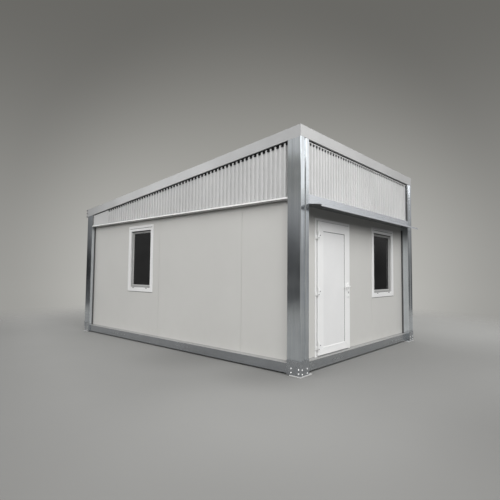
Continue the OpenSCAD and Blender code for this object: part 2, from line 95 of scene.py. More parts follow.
def linear(colour: Colour) -> tuple[float, float, float, float]:
    """Turns a colour as it looks on a screen into linear light.

    Args:
        colour: red, green and blue from 0 to 1, as displayed.

    Returns:
        The same colour in linear light, with an alpha of 1.
    """
    def channel(c: float) -> float:
        """Returns one channel in linear light."""
        return c / 12.92 if c <= 0.04045 else ((c + 0.055) / 1.055) ** 2.4

    return (*(channel(c) for c in colour), 1.0)


class Wiring:
    """Short ways to add and join the nodes of one node tree."""

    def __init__(self, tree: bpy.types.NodeTree) -> None:
        """Works on the given node tree."""
        self.tree = tree

    def feed(self, socket: Socket, value: Value) -> None:
        """Joins a socket to another one, or sets its own value."""
        if isinstance(value, Socket):
            self.tree.links.new(value, socket)
        else:
            socket.default_value = value

    def node(self, kind: str, settings: dict | None = None, **inputs: Value) -> bpy.types.Node:
        """Adds a node.

        Args:
            kind: the node's type name.
            settings: the node's own settings.
            inputs: values or sockets for its inputs, with _ for each space in a name.

        Returns:
            The new node.
        """
        made = self.tree.nodes.new(kind)
        for key, value in (settings or {}).items():
            setattr(made, key, value)
        for name, value in inputs.items():
            self.feed(made.inputs[name.replace("_", " ")], value)
        return made

    def operate(self, kind: str, operation: str, *values: Value) -> bpy.types.Node:
        """Adds a node that works on its inputs in their order.

        Args:
            kind: the node's type name.
            operation: what it works out.
            values: the values of its inputs.

        Returns:
            The new node.
        """
        made = self.node(kind, {"operation": operation})
        for socket, value in zip(made.inputs, values):
            self.feed(socket, value)
        return made

    def math(self, operation: str, a: Value, b: Value) -> Socket:
        """Returns the result of an operation on two numbers."""
        return self.operate("ShaderNodeMath", operation, a, b).outputs[0]

    def mul(self, a: Value, b: Value) -> Socket:
        """Returns the product of two numbers."""
        return self.math("MULTIPLY", a, b)

    def add(self, first: Value, *others: Value) -> Value:
        """Returns the sum of some numbers, added from left to right."""
        for other in others:
            first = self.math("ADD", first, other)
        return first

    def vector(self, operation: str, *values: Value) -> bpy.types.Node:
        """Adds a node that works on vectors, and returns it."""
        return self.operate("ShaderNodeVectorMath", operation, *values)

    def dot(self, a: Value, b: Value) -> Socket:
        """Returns the dot product of two vectors."""
        return self.vector("DOT_PRODUCT", a, b).outputs["Value"]

    def span(self, value: Value, low: float, high: float,
             start: Value = 0.0, end: float = 1.0) -> Socket:
        """Eases a value from one range to another.

        Args:
            value: the value to ease.
            low: the value that gives start.
            high: the value that gives end.
            start: the result at low and beyond.
            end: the result at high and beyond.

        Returns:
            The eased value.
        """
        made = self.node("ShaderNodeMapRange", {"interpolation_type": "SMOOTHSTEP"},
                         From_Min=low, From_Max=high, To_Min=start, To_Max=end, Value=value)
        return made.outputs[0]

    def mix(self, factor: Value, a: Value, b: Value) -> Socket:
        """Mixes two colours.

        Args:
            factor: the share of the second colour.
            a: the first colour.
            b: the second colour.

        Returns:
            A colour between the two.
        """
        made = self.node("ShaderNodeMix", {"data_type": "RGBA"})
        for socket, value in ((made.inputs[0], factor), (made.inputs[6], a), (made.inputs[7], b)):
            self.feed(socket, value)
        return made.outputs[2]

    def lay(self, base: Value, cover: Value, share: float, colour: Sequence[float]) -> Socket:
        """Returns a colour with another laid over it.

        Args:
            base: the colour underneath.
            cover: where the other colour lies, from 0 to 1.
            share: how much of it there is where it lies thickest.
            colour: the other colour, in linear light.

        Returns:
            The mixed colour.
        """
        return self.mix(self.mul(cover, share), base, colour)

    def place(self) -> Socket:
        """Returns the surface point's place in the frame, in metres."""
        return self.node("ShaderNodeTexCoord").outputs["Object"]

    def part(self, vector: Value, axis: Axis) -> Socket:
        """Returns a vector's part along one axis."""
        return self.node("ShaderNodeSeparateXYZ", Vector=vector).outputs[axis.value]

    def distance(self, spot: Triple) -> Socket:
        """Returns how far the surface point is from a spot in the frame."""
        return self.vector("DISTANCE", self.place(), spot).outputs["Value"]

    def stretched(self, scale: Value) -> Socket:
        """Returns the surface point's place, scaled along each axis."""
        return self.vector("MULTIPLY", self.place(), scale).outputs[0]

    def noise(self, where: Value, scale: Value, detail: float = 3.0, rough: float = 0.5) -> Socket:
        """Returns smooth noise from 0 to 1 at a place."""
        return self.node("ShaderNodeTexNoise", Vector=where, Scale=scale, Detail=detail,
                         Roughness=rough).outputs[0]

    def cells(self, where: Value, scale: Value, channel: int) -> Socket:
        """Gives each cell of a pattern a number of its own.

        Args:
            where: the place in the pattern.
            scale: how many cells there are in a metre.
            channel: which of the cell's three numbers is taken.

        Returns:
            The cell's number, from 0 to 1.
        """
        cells = self.node("ShaderNodeTexVoronoi", Vector=where, Scale=scale)
        return self.node("ShaderNodeSeparateColor",
                         Color=cells.outputs["Color"]).outputs[channel]


class Effect:
    """A shader node group that is built once and placed in each material that needs it."""

    name: str
    inputs: dict[str, tuple[str, Value]]
    outputs: tuple[str, ...]

    def wire(self, w: Wiring, given: bpy.types.NodeOutputs) -> tuple[Socket, ...]:
        """Wires the group's inside; each effect has its own.

        Args:
            w: the wiring of the group's tree.
            given: the group's inputs.

        Returns:
            What the group puts out, in the order of its outputs.
        """
        raise NotImplementedError

    def group(self) -> bpy.types.NodeTree:
        """Returns the effect's node group, built on first use."""
        if self.name in bpy.data.node_groups:
            return bpy.data.node_groups[self.name]
        tree = bpy.data.node_groups.new(self.name, "ShaderNodeTree")
        for name, (kind, value) in self.inputs.items():
            socket = tree.interface.new_socket(name, in_out="INPUT", socket_type=kind)
            socket.default_value = value
        for name in self.outputs:
            tree.interface.new_socket(name, in_out="OUTPUT", socket_type="NodeSocketFloat")
        w = Wiring(tree)
        given, result = w.node("NodeGroupInput").outputs, w.node("NodeGroupOutput").inputs
        for name, value in zip(self.outputs, self.wire(w, given)):
            w.feed(result[name], value)
        return tree

    def put(self, w: Wiring, **values: Value) -> bpy.types.NodeOutputs:
        """Places the group in a material.

        Args:
            w: the wiring of the material's tree.
            values: the values of the group's inputs, with _ for each space in a name.

        Returns:
            The placed group's outputs.
        """
        return w.node("ShaderNodeGroup", {"node_tree": self.group()}, **values).outputs


class Spangle(Effect):
    """Zinc crystals and soft rolling streaks on galvanised sheet."""

    name = "zinc_spangle"
    inputs = {"Crystal Size": ("NodeSocketFloat", 0.014),
              "Streak Scale": ("NodeSocketVector", (30.0, 30.0, 0.9))}
    outputs = ("Crystal", "Streak", "Cloud", "Relief")
    jitter_scale = 90.0
    jitter = 0.006
    cloud_scale = 2.2

    def wire(self, w: Wiring, given: bpy.types.NodeOutputs) -> tuple[Socket, ...]:
        """Mixes cell noise for the crystals with stretched noise for the streaks."""
        place = w.place()
        jitter = w.node("ShaderNodeTexNoise", Vector=place, Scale=self.jitter_scale, Detail=2.0)
        warp = w.vector("MULTIPLY_ADD", jitter.outputs["Color"], (self.jitter,) * 3, place)
        density = w.math("DIVIDE", 1.0, given["Crystal Size"])
        crystal = w.cells(warp.outputs[0], density, 0)
        streak = w.noise(w.stretched(given["Streak Scale"]), 1.0, 4.0, 0.6)
        cloud = w.noise(place, self.cloud_scale)
        return (crystal, w.span(streak, 0.3, 0.7), w.span(cloud, 0.32, 0.68),
                w.add(w.mul(crystal, 0.5), streak))


class SheetSkin(Effect):
    """Fine grain of a coating over slow waves in thin sheet."""

    name = "sheet_skin"
    inputs = {"Grain Size": ("NodeSocketFloat", 0.0025),
              "Wave Scale": ("NodeSocketVector", (3.0, 3.0, 0.7))}
    outputs = ("Grain", "Wave", "Mottle")
    mottle_scale = 1.4

    def wire(self, w: Wiring, given: bpy.types.NodeOutputs) -> tuple[Socket, ...]:
        """Wires three noises of falling scale."""
        density = w.math("DIVIDE", 1.0, given["Grain Size"])
        return (w.noise(w.place(), density, 2.0),
                w.noise(w.stretched(given["Wave Scale"]), 1.0, 1.0),
                w.span(w.noise(w.place(), self.mottle_scale, 5.0, 0.62), 0.3, 0.7))


class Weather(Effect):
    """Dust low down and on ledges, rain marks that run down, and a mask of downward faces for
    painted underside shade.
    """

    name = "weather"
    inputs = {"Low": ("NodeSocketFloat", 0.15), "Fade": ("NodeSocketFloat", 0.5)}
    outputs = ("Dust", "Drips", "Underside")
    patch_scale = 7.0
    run_scale = (26.0, 26.0, 0.55)
    on_ledges = 0.7

    def wire(self, w: Wiring, given: bpy.types.NodeOutputs) -> tuple[Socket, ...]:
        """Wires a height fade, masks of ledges and undersides, and narrow vertical noise."""
        place = w.place()
        above = w.math("DIVIDE", w.math("SUBTRACT", w.part(place, Axis.Z), given["Low"]),
                       given["Fade"])
        up = w.part(w.node("ShaderNodeNewGeometry").outputs["Normal"], Axis.Z)
        ledge = w.mul(w.span(up, 0.6, 0.95), self.on_ledges)
        patch = w.span(w.noise(place, self.patch_scale, 6.0, 0.65), 0.35, 0.72)
        dust = w.mul(w.math("MAXIMUM", w.span(above, 1.0, 0.0), ledge), patch)
        run = w.noise(w.stretched(self.run_scale), 1.0)
        return (dust, w.mul(w.span(run, 0.56, 0.74), patch), w.span(up, -0.5, -0.3, 1.0, 0.0))


class EdgeHighlightAndWear(Effect):
    """Lighter edges, partly worn and partly a painted highlight, from how far the normal turns
    near an edge.
    """

    name = "edge_highlight_and_wear"
    inputs = {"Width": ("NodeSocketFloat", 0.003)}
    outputs = ("Mask",)
    breakup_scale = 38.0

    def wire(self, w: Wiring, given: bpy.types.NodeOutputs) -> tuple[Socket, ...]:
        """Compares a rounded normal with the true one and breaks the result up."""
        rounded = w.node("ShaderNodeBevel", {"samples": 4}, Radius=given["Width"])
        true = w.node("ShaderNodeNewGeometry").outputs["Normal"]
        edge = w.span(w.dot(rounded.outputs[0], true), 0.985, 0.9)
        return (w.mul(edge, w.span(w.noise(w.place(), self.breakup_scale, 4.0), 0.35, 0.6)),)


class PaintedCreaseShade(Effect):
    """Painted shade in creases and corners, found from how enclosed a point is."""

    name = "painted_crease_shade"
    inputs = {"Reach": ("NodeSocketFloat", 0.03)}
    outputs = ("Mask",)

    def wire(self, w: Wiring, given: bpy.types.NodeOutputs) -> tuple[Socket, ...]:
        """Turns the openness round a point into a mask."""
        near = w.node("ShaderNodeAmbientOcclusion", {"samples": 8, "only_local": True},
                      Distance=given["Reach"])
        return (w.span(near.outputs["AO"], 0.55, 0.92, 1.0, 0.0),)


SPANGLE = Spangle()
SHEET_SKIN = SheetSkin()
WEATHER = Weather()
EDGE_HIGHLIGHT_AND_WEAR = EdgeHighlightAndWear()
PAINTED_CREASE_SHADE = PaintedCreaseShade()


# ---- finishes ----


@dataclass(frozen=True)
class Finish:
    """A surface finish. Each kind of finish wires its own material."""

    name: str
    colour: Colour
    roughness: float = 0.5
    slot: str = ""

    def shade(self, w: Wiring, shader: bpy.types.Node) -> None:
        """Wires the material's nodes into its shader; each finish has its own.

        Args:
            w: the wiring of the material's tree.
            shader: the material's shader.
        """
        raise NotImplementedError

    def material(self) -> bpy.types.Material:
        """Returns the finish's material, made on first use."""
        if self.name in bpy.data.materials:
            return bpy.data.materials[self.name]
        made, w = empty_material(self.name)
        shader = w.node("ShaderNodeBsdfPrincipled")
        self.shade(w, shader)
        w.node("ShaderNodeOutputMaterial", Surface=shader.outputs[0])
        return made

    def tint(self, gain: float, shift: Colour = (1.0, 1.0, 1.0)) -> tuple[float, ...]:
        """Returns the finish's colour in linear light, made lighter or darker and tinted."""
        *channels, alpha = linear(self.colour)
        return (*(min(c * gain * s, 1.0) for c, s in zip(channels, shift)), alpha)

    def gloss(self, w: Wiring, shader: bpy.types.Node, change: Value) -> None:
        """Feeds the shader's roughness with the finish's own and a change from place to place."""
        w.feed(shader.inputs["Roughness"], w.add(change, self.roughness))

    def bump(self, w: Wiring, shader: bpy.types.Node, height: Value, depth: float,
             strength: float = 1.0) -> None:
        """Gives the shader a relief.

        Args:
            w: the material's wiring.
            shader: the shader to feed.
            height: the relief, from 0 to 1.
            depth: the relief's depth in metres.
            strength: how much of the relief shows.
        """
        made = w.node("ShaderNodeBump", Strength=strength, Distance=depth, Height=height)
        w.feed(shader.inputs["Normal"], made.outputs[0])


def empty_material(name: str) -> tuple[bpy.types.Material, Wiring]:
    """Returns a new material with no nodes, and the wiring of its tree."""
    made = bpy.data.materials.new(name)
    made.use_nodes = True
    made.node_tree.nodes.clear()
    return made, Wiring(made.node_tree)


@dataclass(frozen=True)
class Galvanised(Finish):
    """Hot-dip zinc on steel: crystals, cloudy patches and streaks along the rolling direction."""

    slot: str = "galvanised_steel"
    crystal: float = 0.010
    streaks: Triple = (30.0, 30.0, 0.6)
    metallic: float = 0.96
    highlight_and_wear: float = 0.2
    edge: float = 0.003
    plate: float = -1.0
    plate_painted_light_colour: Colour = (0.80, 0.80, 0.795)
    plate_dulled: float = 0.7
    painted_underside_shade: float = 0.0
    spread: float = 1.0
    tone_shares: Triple = (0.16, 0.46, 0.38)
    gloss_shares: Triple = (0.04, -0.05, 0.05)
    darkest: float = -0.16
    lightest: float = 0.14
    blue_shift: Colour = (0.985, 1.0, 1.015)
    dust: float = 0.12
    dust_colour: Colour = (0.50, 0.48, 0.45)
    relief: float = 0.0001
    relief_shown: float = 0.25

    def shade(self, w: Wiring, shader: bpy.types.Node) -> None:
        """Varies colour and gloss from crystal to crystal and along the streaks."""
        zinc = SPANGLE.put(w, Crystal_Size=self.crystal, Streak_Scale=self.streaks)
        weather = WEATHER.put(w, Low=0.0, Fade=0.4)
        bright_edges = EDGE_HIGHLIGHT_AND_WEAR.put(w, Width=self.edge)["Mask"]
        patterns = zinc["Crystal"], zinc["Streak"], zinc["Cloud"]
        tone = w.add(*(w.mul(p, share) for p, share in zip(patterns, self.tone_shares)))
        base = w.mix(tone, self.tint(1.0 + self.darkest * self.spread, self.blue_shift),
                     self.tint(1.0 + self.lightest * self.spread))
        # Lighter edges: partly worn zinc, partly a painted highlight.
        base = w.lay(base, bright_edges, self.highlight_and_wear, self.tint(1.4))
        base = w.lay(base, weather["Dust"], self.dust, linear(self.dust_colour))
        metal: Value = self.metallic
        # Below the plate's height the zinc is lighter and less metallic: painted light for the
        # base plate's brightly lit edge.
        if self.plate > 0.0:
            cut = w.span(w.part(w.place(), Axis.Z), self.plate, self.plate + 0.002, 1.0, 0.0)
            base = w.mix(cut, base, linear(self.plate_painted_light_colour))
            metal = w.math("SUBTRACT", self.metallic, w.mul(cut, self.plate_dulled))
        # Downward faces are darkened as painted underside shade, and made more metallic.
        if self.painted_underside_shade > 0.0:
            under = weather["Underside"]
            base = w.mix(under, base, self.tint(0.6))
            metal = w.add(metal, w.mul(under, self.painted_underside_shade))
        w.feed(shader.inputs["Base Color"], base)
        w.feed(shader.inputs["Metallic"], metal)
        self.gloss(w, shader, w.add(*(w.mul(p, share * self.spread)
                                      for p, share in zip(patterns, self.gloss_shares))))
        self.bump(w, shader, zinc["Relief"], self.relief, self.relief_shown * self.spread)


@dataclass(frozen=True)
class CoatedSheet(Finish):
    """Factory-coated sheet steel, with slow waves, faint mottling and a little dust."""

    waves: Triple = (3.0, 3.0, 0.7)
    wave_depth: float = 0.0006
    dust: float = 0.25
    dust_colour: Colour = (0.60, 0.575, 0.53)
    drips: float = 0.12
    drip_shift: Colour = (1.0, 0.985, 0.955)
    mottle: float = 0.05
    low: float = 0.15
    painted_fold_shade: float = 0.0
    painted_end_shade: Profile = ()
    painted_end_shade_cover: float = 0.30
    painted_end_shade_colour: Colour = (0.10, 0.10, 0.10)

    def shade(self, w: Wiring, shader: bpy.types.Node) -> None:
        """Varies the coating's tone and lays dust, rain marks, and painted shade in creases and
        towards the ends of a run.
        """
        skin = SHEET_SKIN.put(w, Wave_Scale=self.waves)
        weather = WEATHER.put(w, Low=self.low, Fade=0.55)
        base = w.mix(skin["Mottle"], self.tint(1.0 - self.mottle), self.tint(1.0 + self.mottle))
        base = w.lay(base, weather["Drips"], self.drips, self.tint(0.72, self.drip_shift))
        base = w.lay(base, weather["Dust"], self.dust, linear(self.dust_colour))
        # Painted shade in creases, from how enclosed each point is.
        if self.painted_fold_shade > 0.0:
            base = w.lay(base, PAINTED_CREASE_SHADE.put(w)["Mask"], self.painted_fold_shade, self.tint(0.45))
        # Painted shade that darkens the sheet towards the ends of a run along Y.
        for bare, thick in self.painted_end_shade:
            base = w.lay(base, w.span(w.part(w.place(), Axis.Y), bare, thick), self.painted_end_shade_cover,
                         linear(self.painted_end_shade_colour))
        w.feed(shader.inputs["Base Color"], base)
        self.gloss(w, shader, w.mul(w.add(skin["Mottle"], weather["Dust"]), 0.10))
        self.bump(w, shader, w.add(skin["Wave"], w.mul(skin["Grain"], 0.04)), self.wave_depth)


@dataclass(frozen=True)
class Plastic(Finish):
    """Extruded or moulded plastic with a faint grain and light soiling."""

    slot: str = "white_pvc"
    grain: float = 0.0015
    dust: float = 0.15
    dust_colour: Colour = (0.60, 0.585, 0.55)
    low: float = 0.15

    def shade(self, w: Wiring, shader: bpy.types.Node) -> None:
        """Varies the gloss a little and soils the lower parts and ledges."""
        skin = SHEET_SKIN.put(w, Grain_Size=self.grain, Wave_Scale=(2.0, 2.0, 2.0))
        weather = WEATHER.put(w, Low=self.low, Fade=0.35)
        base = w.mix(skin["Mottle"], self.tint(0.975), self.tint(1.02))
        w.feed(shader.inputs["Base Color"],
               w.lay(base, weather["Dust"], self.dust, linear(self.dust_colour)))
        self.gloss(w, shader, w.mul(skin["Mottle"], 0.08))
        self.bump(w, shader, skin["Grain"], 0.00008, 0.6)


@dataclass(frozen=True)
class Rubber(Finish):
    """Matt black rubber or foam with open pores."""

    slot: str = "white_pvc"
    pores: float = 0.002

    def shade(self, w: Wiring, shader: bpy.types.Node) -> None:
        """Gives the rubber a pitted, slightly dusty surface."""
        skin = SHEET_SKIN.put(w, Grain_Size=self.pores, Wave_Scale=(9.0, 9.0, 9.0))
        base = w.mix(w.span(skin["Grain"], 0.4, 0.75), self.tint(0.8), self.tint(1.7))
        w.feed(shader.inputs["Base Color"], base)
        self.gloss(w, shader, w.mul(skin["Mottle"], 0.1))
        self.bump(w, shader, skin["Grain"], 0.0004)


@dataclass(frozen=True)
class BareMetal(Finish):
    """Bare or zinc-plated metal, with fine drawing lines along one axis."""

    lines: Triple = (4.0, 900.0, 900.0)
    edge: float = 0.0012
    highlight_and_wear: float = 0.4

    def shade(self, w: Wiring, shader: bpy.types.Node) -> None:
        """Lays fine lines over a metal that brightens at its edges."""
        lines = w.noise(w.stretched(self.lines), 1.0, 2.0)
        bright_edges = EDGE_HIGHLIGHT_AND_WEAR.put(w, Width=self.edge)["Mask"]
        base = w.mix(lines, self.tint(0.86), self.tint(1.08))
        # Lighter edges: partly worn metal, partly a painted highlight.
        w.feed(shader.inputs["Base Color"], w.lay(base, bright_edges, self.highlight_and_wear, self.tint(1.4)))
        shader.inputs["Metallic"].default_value = 1.0
        self.gloss(w, shader, w.mul(w.noise(w.place(), 35.0), 0.16))
        self.bump(w, shader, lines, 0.00006, 0.5)


@dataclass(frozen=True)
class Glass(Finish):
    """Double glazing, lightly tinted, with faint wipe marks in its gloss."""

    ior: float = 1.5

    def shade(self, w: Wiring, shader: bpy.types.Node) -> None:
        """Keeps the glass clear and varies only its gloss and flatness."""
        smear = w.noise(w.stretched((3.0, 3.0, 1.2)), 1.0, 4.0)
        w.feed(shader.inputs["Base Color"],
               w.mix(w.span(smear, 0.4, 0.7), self.tint(1.0), self.tint(1.15)))
        shader.inputs["Transmission Weight"].default_value = 1.0
        shader.inputs["IOR"].default_value = self.ior
        self.gloss(w, shader, w.mul(smear, 0.03))
        self.bump(w, shader, w.noise(w.place(), 0.9, 1.0), 0.002, 0.03)


@dataclass(frozen=True)
class Vinyl(Finish):
    """Sheet floor covering with small chips of other tones."""

    chips: float = 160.0

    def shade(self, w: Wiring, shader: bpy.types.Node) -> None:
        """Scatters light and dark chips over the covering."""
        tone = w.cells(w.place(), self.chips, 1)
        skin = SHEET_SKIN.put(w)
        w.feed(shader.inputs["Base Color"],
               w.mix(w.span(tone, 0.2, 0.9), self.tint(0.72), self.tint(1.3)))
        self.gloss(w, shader, w.mul(skin["Mottle"], 0.12))
        self.bump(w, shader, skin["Grain"], 0.0001)


ALONG_X = (0.6, 30.0, 30.0)
ALONG_Y = (30.0, 0.6, 30.0)
ALL_WAYS = (300.0, 300.0, 300.0)

POST_ZINC = Galvanised("post_zinc", (0.86, 0.878, 0.895), 0.14, metallic=1.0)
BEAM_ZINC_X = Galvanised("beam_zinc_x", (0.75, 0.76, 0.77), 0.26, streaks=ALONG_X,
                         spread=0.2)
BEAM_ZINC_Y = Galvanised("beam_zinc_y", (0.73, 0.74, 0.755), 0.26, streaks=ALONG_Y,
                         spread=0.2)
# The lintel and the canopy carry painted underside shade.
LINTEL_ZINC = Galvanised("lintel_zinc", (0.87, 0.88, 0.895), 0.27, streaks=ALONG_X,
                         metallic=0.80, painted_underside_shade=0.2, spread=0.04, highlight_and_wear=0.0)
CANOPY_ZINC = Galvanised("canopy_zinc", (0.85, 0.86, 0.875), 0.27, streaks=ALONG_X,
                         metallic=0.66, painted_underside_shade=0.34, spread=0.04, highlight_and_wear=0.0)
SHOE_ZINC = Galvanised("shoe_zinc", (0.72, 0.73, 0.745), 0.26, streaks=(9.0, 9.0, 9.0),
                       plate=0.0125)
BOLT_ZINC = BareMetal("bolt_zinc", (0.93, 0.93, 0.94), 0.24, "galvanised_steel",
                      lines=ALL_WAYS)
# White domes on the foot bolts: their white is a painted highlight of bright zinc bolt heads.
BOLT_PAINTED_HIGHLIGHT = Plastic("bolt_painted_highlight", (0.94, 0.94, 0.935), 0.3, "galvanised_steel", dust=0.0)
DARK_BOLT = BareMetal("dark_bolt", (0.30, 0.30, 0.31), 0.42, "galvanised_steel",
                      lines=ALL_WAYS)
# The side fascias darken towards both ends of the run: painted shade.
FASCIA_SIDE = CoatedSheet("fascia_side", (0.752, 0.754, 0.754), 0.40, "fascia_steel",
                          waves=(3.0, 0.5, 3.0), wave_depth=0.0004, dust=0.1, drips=0.05,
                          painted_end_shade=((-0.1, -3.2), (1.1, 3.2)))
# The front and rear fascias and the gutter use a darker copy of the side fascias' coating: painted
# shade.
FASCIA_FRONT = CoatedSheet("fascia_front", (0.67, 0.67, 0.667), 0.40, "fascia_steel",
                           waves=(0.5, 3.0, 3.0), wave_depth=0.0004, dust=0.1, drips=0.05)
ROOF_COAT = CoatedSheet("roof_coat", (0.70, 0.705, 0.705), 0.45, "roof_steel",
                        waves=(2.0, 0.4, 2.0), dust=0.4)
RIBBED_COAT = CoatedSheet("ribbed_coat", (0.745, 0.745, 0.742), 0.38, "corrugated_sheet",
                          waves=(1.6, 1.6, 0.4), wave_depth=0.0002, dust=0.12, painted_fold_shade=0.75)
FLASHING = CoatedSheet("flashing", (0.60, 0.60, 0.597), 0.4, "white_trim", dust=0.08)
TRIM_COAT = CoatedSheet("trim_coat", (0.93, 0.93, 0.925), 0.35, "white_trim", dust=0.08)
WALL_SKIN = CoatedSheet("wall_skin", (0.75, 0.747, 0.733), 0.52, "wall_panel",
                        waves=(1.5, 1.5, 0.5), wave_depth=0.0012, dust=0.05, drips=0.04,
                        mottle=0.015)
LINING = CoatedSheet("lining", (0.86, 0.86, 0.845), 0.55, "inner_lining", dust=0.0, drips=0.0)
FLOOR_VINYL = Vinyl("floor_vinyl", (0.42, 0.41, 0.39), 0.5, "floor_covering")
PVC = Plastic("pvc_profile", (0.885, 0.885, 0.882), 0.30, dust=0.05)
FRAME_PVC = Plastic("frame_pvc", (0.875, 0.875, 0.872), 0.30, dust=0.05)
# The sash and the bead are one grey plastic in two tones: the sash's darker grey is its own colour
# deepened by painted shade from its recess, and the bead's lighter grey is painted light.
SASH_GREY = Plastic("grey_pvc", (0.59, 0.59, 0.585), 0.33, dust=0.05)
BEAD_GREY = Plastic("bead_pvc", (0.68, 0.68, 0.675), 0.33, dust=0.05)
CAP_GREY = Plastic("cap_grey", (0.36, 0.36, 0.355), 0.4, dust=0.1)
# A dark insert in the windows' vent slots: painted shade in the slot.
SLOT_SHADE_GREY = Plastic("vent_slot_shade", (0.35, 0.35, 0.345), 0.45, dust=0.1)
INFILL = Plastic("infill_skin", (0.86, 0.86, 0.858), 0.34, "door_infill", grain=0.004,
                 dust=0.04)
HARDWARE = Plastic("white_hardware", (0.925, 0.925, 0.92), 0.25, "handle_white")
# Black rubber for the real seals round sash and glass, the plugs and the hinge holes, also used
# for dark strips of painted shade in the windows.
BLACK_SEAL_AND_SHADE = Rubber("black_seal_and_shade", (0.10, 0.10, 0.10), 0.6)
SEAL_GREY = Rubber("grey_seal", (0.36, 0.36, 0.36), 0.6)
# Dark strips of painted shade: by the posts' flanks, under the side trims, and at the door's
# infill and head.
SHADE_STRIP_DARK = Rubber("painted_shade_strip", (0.30, 0.30, 0.30), 0.6)
# Black foam in the cladding's valleys, also used for a dark strip of painted shade under the
# fascias.
FOAM_AND_EAVE_SHADE = Rubber("closure_foam_and_eave_shade", (0.045, 0.045, 0.045), 0.9, "corrugated_sheet", pores=0.004)
ALUMINIUM = BareMetal("aluminium", (0.78, 0.785, 0.79), 0.30, "aluminium_sill")
NICKEL = BareMetal("nickel", (0.24, 0.235, 0.23), 0.36, "handle_white", lines=(500.0, 4.0, 500.0))
WINDOW_GLASS = Glass("pane_glass", (0.235, 0.238, 0.24), 0.01, "window_glass")


# ---- shapes ----


@dataclass(frozen=True)
class Rect:
    """An upright rectangle, given by its left, bottom, right and top edges."""

    left: float
    bottom: float
    right: float
    top: float

    def inset(self, sides: float, bottom: float | None = None,
              top: float | None = None) -> "Rect":
        """Returns the rectangle moved in by the given widths.

        Args:
            sides: the width taken off the left and right.
            bottom: the width taken off the bottom, or None for the same as the sides.
            top: the width taken off the top, or None for the same as the sides.

        Returns:
            The smaller rectangle.
        """
        bottom = sides if bottom is None else bottom
        top = sides if top is None else top
        return Rect(self.left + sides, self.bottom + bottom, self.right - sides, self.top - top)

    def corners(self) -> list[Point]:
        """Returns the corners, counter-clockwise from the lower left."""
        return [(self.left, self.bottom), (self.right, self.bottom),
                (self.right, self.top), (self.left, self.top)]

    def rounded(self, radius: float, steps: int = 4) -> list[Point]:
        """Returns the outline with round corners, counter-clockwise."""
        return [p for i, c in enumerate(self.inset(radius).corners())
                for p in arc(c, radius, 180 + 90 * i, 270 + 90 * i, steps)]


Station = tuple[Rect, float]


@dataclass(frozen=True)
class Box:
    """The box that a node of the frame fills at rest."""

    low: Vector
    high: Vector

    @classmethod
    def of(cls, node: str) -> "Box":
        """Returns the box of a named node."""
        return cls(*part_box(node))

    @property
    def size(self) -> Vector:
        """Returns the box's lengths."""
        return self.high - self.low

    @property
    def rect(self) -> Rect:
        """Returns the upright rectangle of the box, seen from the front."""
        return Rect(self.low.x, self.low.z, self.high.x, self.high.z)


def arc(centre: Point, radius: float, start: float, end: float, steps: int) -> list[Point]:
    """Returns points along an arc.

    Args:
        centre: the arc's centre.
        radius: the arc's radius.
        start: the first point's angle in degrees.
        end: the last point's angle in degrees.
        steps: how many pieces the arc has.

    Returns:
        The points, first and last included.
    """
    angles = [math.radians(start + (end - start) * i / steps) for i in range(steps + 1)]
    return [(centre[0] + radius * math.cos(a), centre[1] + radius * math.sin(a)) for a in angles]


def folded(path: Sequence[Point], thickness: float, radius: float, steps: int = 4) -> list[Point]:
    """Returns the section of folded sheet metal.

    Args:
        path: the middle line of the sheet, as straight stretches.
        thickness: the sheet's thickness.
        radius: the middle line's radius at each fold.
        steps: how many pieces each fold has.

    Returns:
        The section's closed outline.
    """
    def across(run: Vector) -> Vector:
        """Returns the direction to the left of a run."""
        return Vector((-run.y, run.x))

    points = [Vector(p) for p in path]
    runs = [(b - a).normalized() for a, b in zip(points, points[1:])]
    line = [(points[0], across(runs[0]))]
    for point, before, after in zip(points[1:], runs, runs[1:]):
        turn = before.angle_signed(after)
        side = 1.0 if turn < 0 else -1.0
        start = point - before * (radius * abs(math.tan(turn / 2)))
        centre = start + across(before) * radius * side
        for k in range(steps + 1):
            normal = across(before)
            normal.rotate(Matrix.Rotation(-turn * k / steps, 2))
            line.append((centre - normal * radius * side, normal))
    line.append((points[-1], across(runs[-1])))
    half = thickness / 2
    return ([tuple(p + n * half) for p, n in line]
            + [tuple(p - n * half) for p, n in reversed(line)])


@dataclass(frozen=True)
class Fold:
    """How the edges of a piece are rounded."""

    radius: float = 0.0015
    segments: int = 2
    angle: float = 32.0

    def put_on(self, thing: bpy.types.Object, weld: float = 0.0) -> None:
        """Rounds an object's edges with modifiers and smooths its shading.

        Args:
            thing: the object.
            weld: how close points are merged first, or 0 for points as they are.
        """
        if weld:
            thing.modifiers.new("weld", "WELD").merge_threshold = weld
        bevel = thing.modifiers.new("edges", "BEVEL")
        bevel.width, bevel.segments = self.radius, self.segments
        bevel.limit_method, bevel.angle_limit = "ANGLE", math.radians(self.angle)
        bevel.harden_normals = False
        thing.modifiers.new("shading", "WEIGHTED_NORMAL").keep_sharp = True


SHARP = Fold(0.0004, 1)
THIN = Fold(0.0012, 2)
CREASED = Fold(0.0022, 3)
SOFT = Fold(0.003, 3)
WELD = 0.00002
SHARP_ANGLE = 35.0
MITRE_SEAM = 0.0004
HERE = Matrix.Identity(4)


def put_in_scene(name: str, data: bpy.types.ID) -> bpy.types.Object:
    """Returns a new object in the scene that shows the given data."""
    made = bpy.data.objects.new(name, data)
    bpy.context.collection.objects.link(made)
    return made


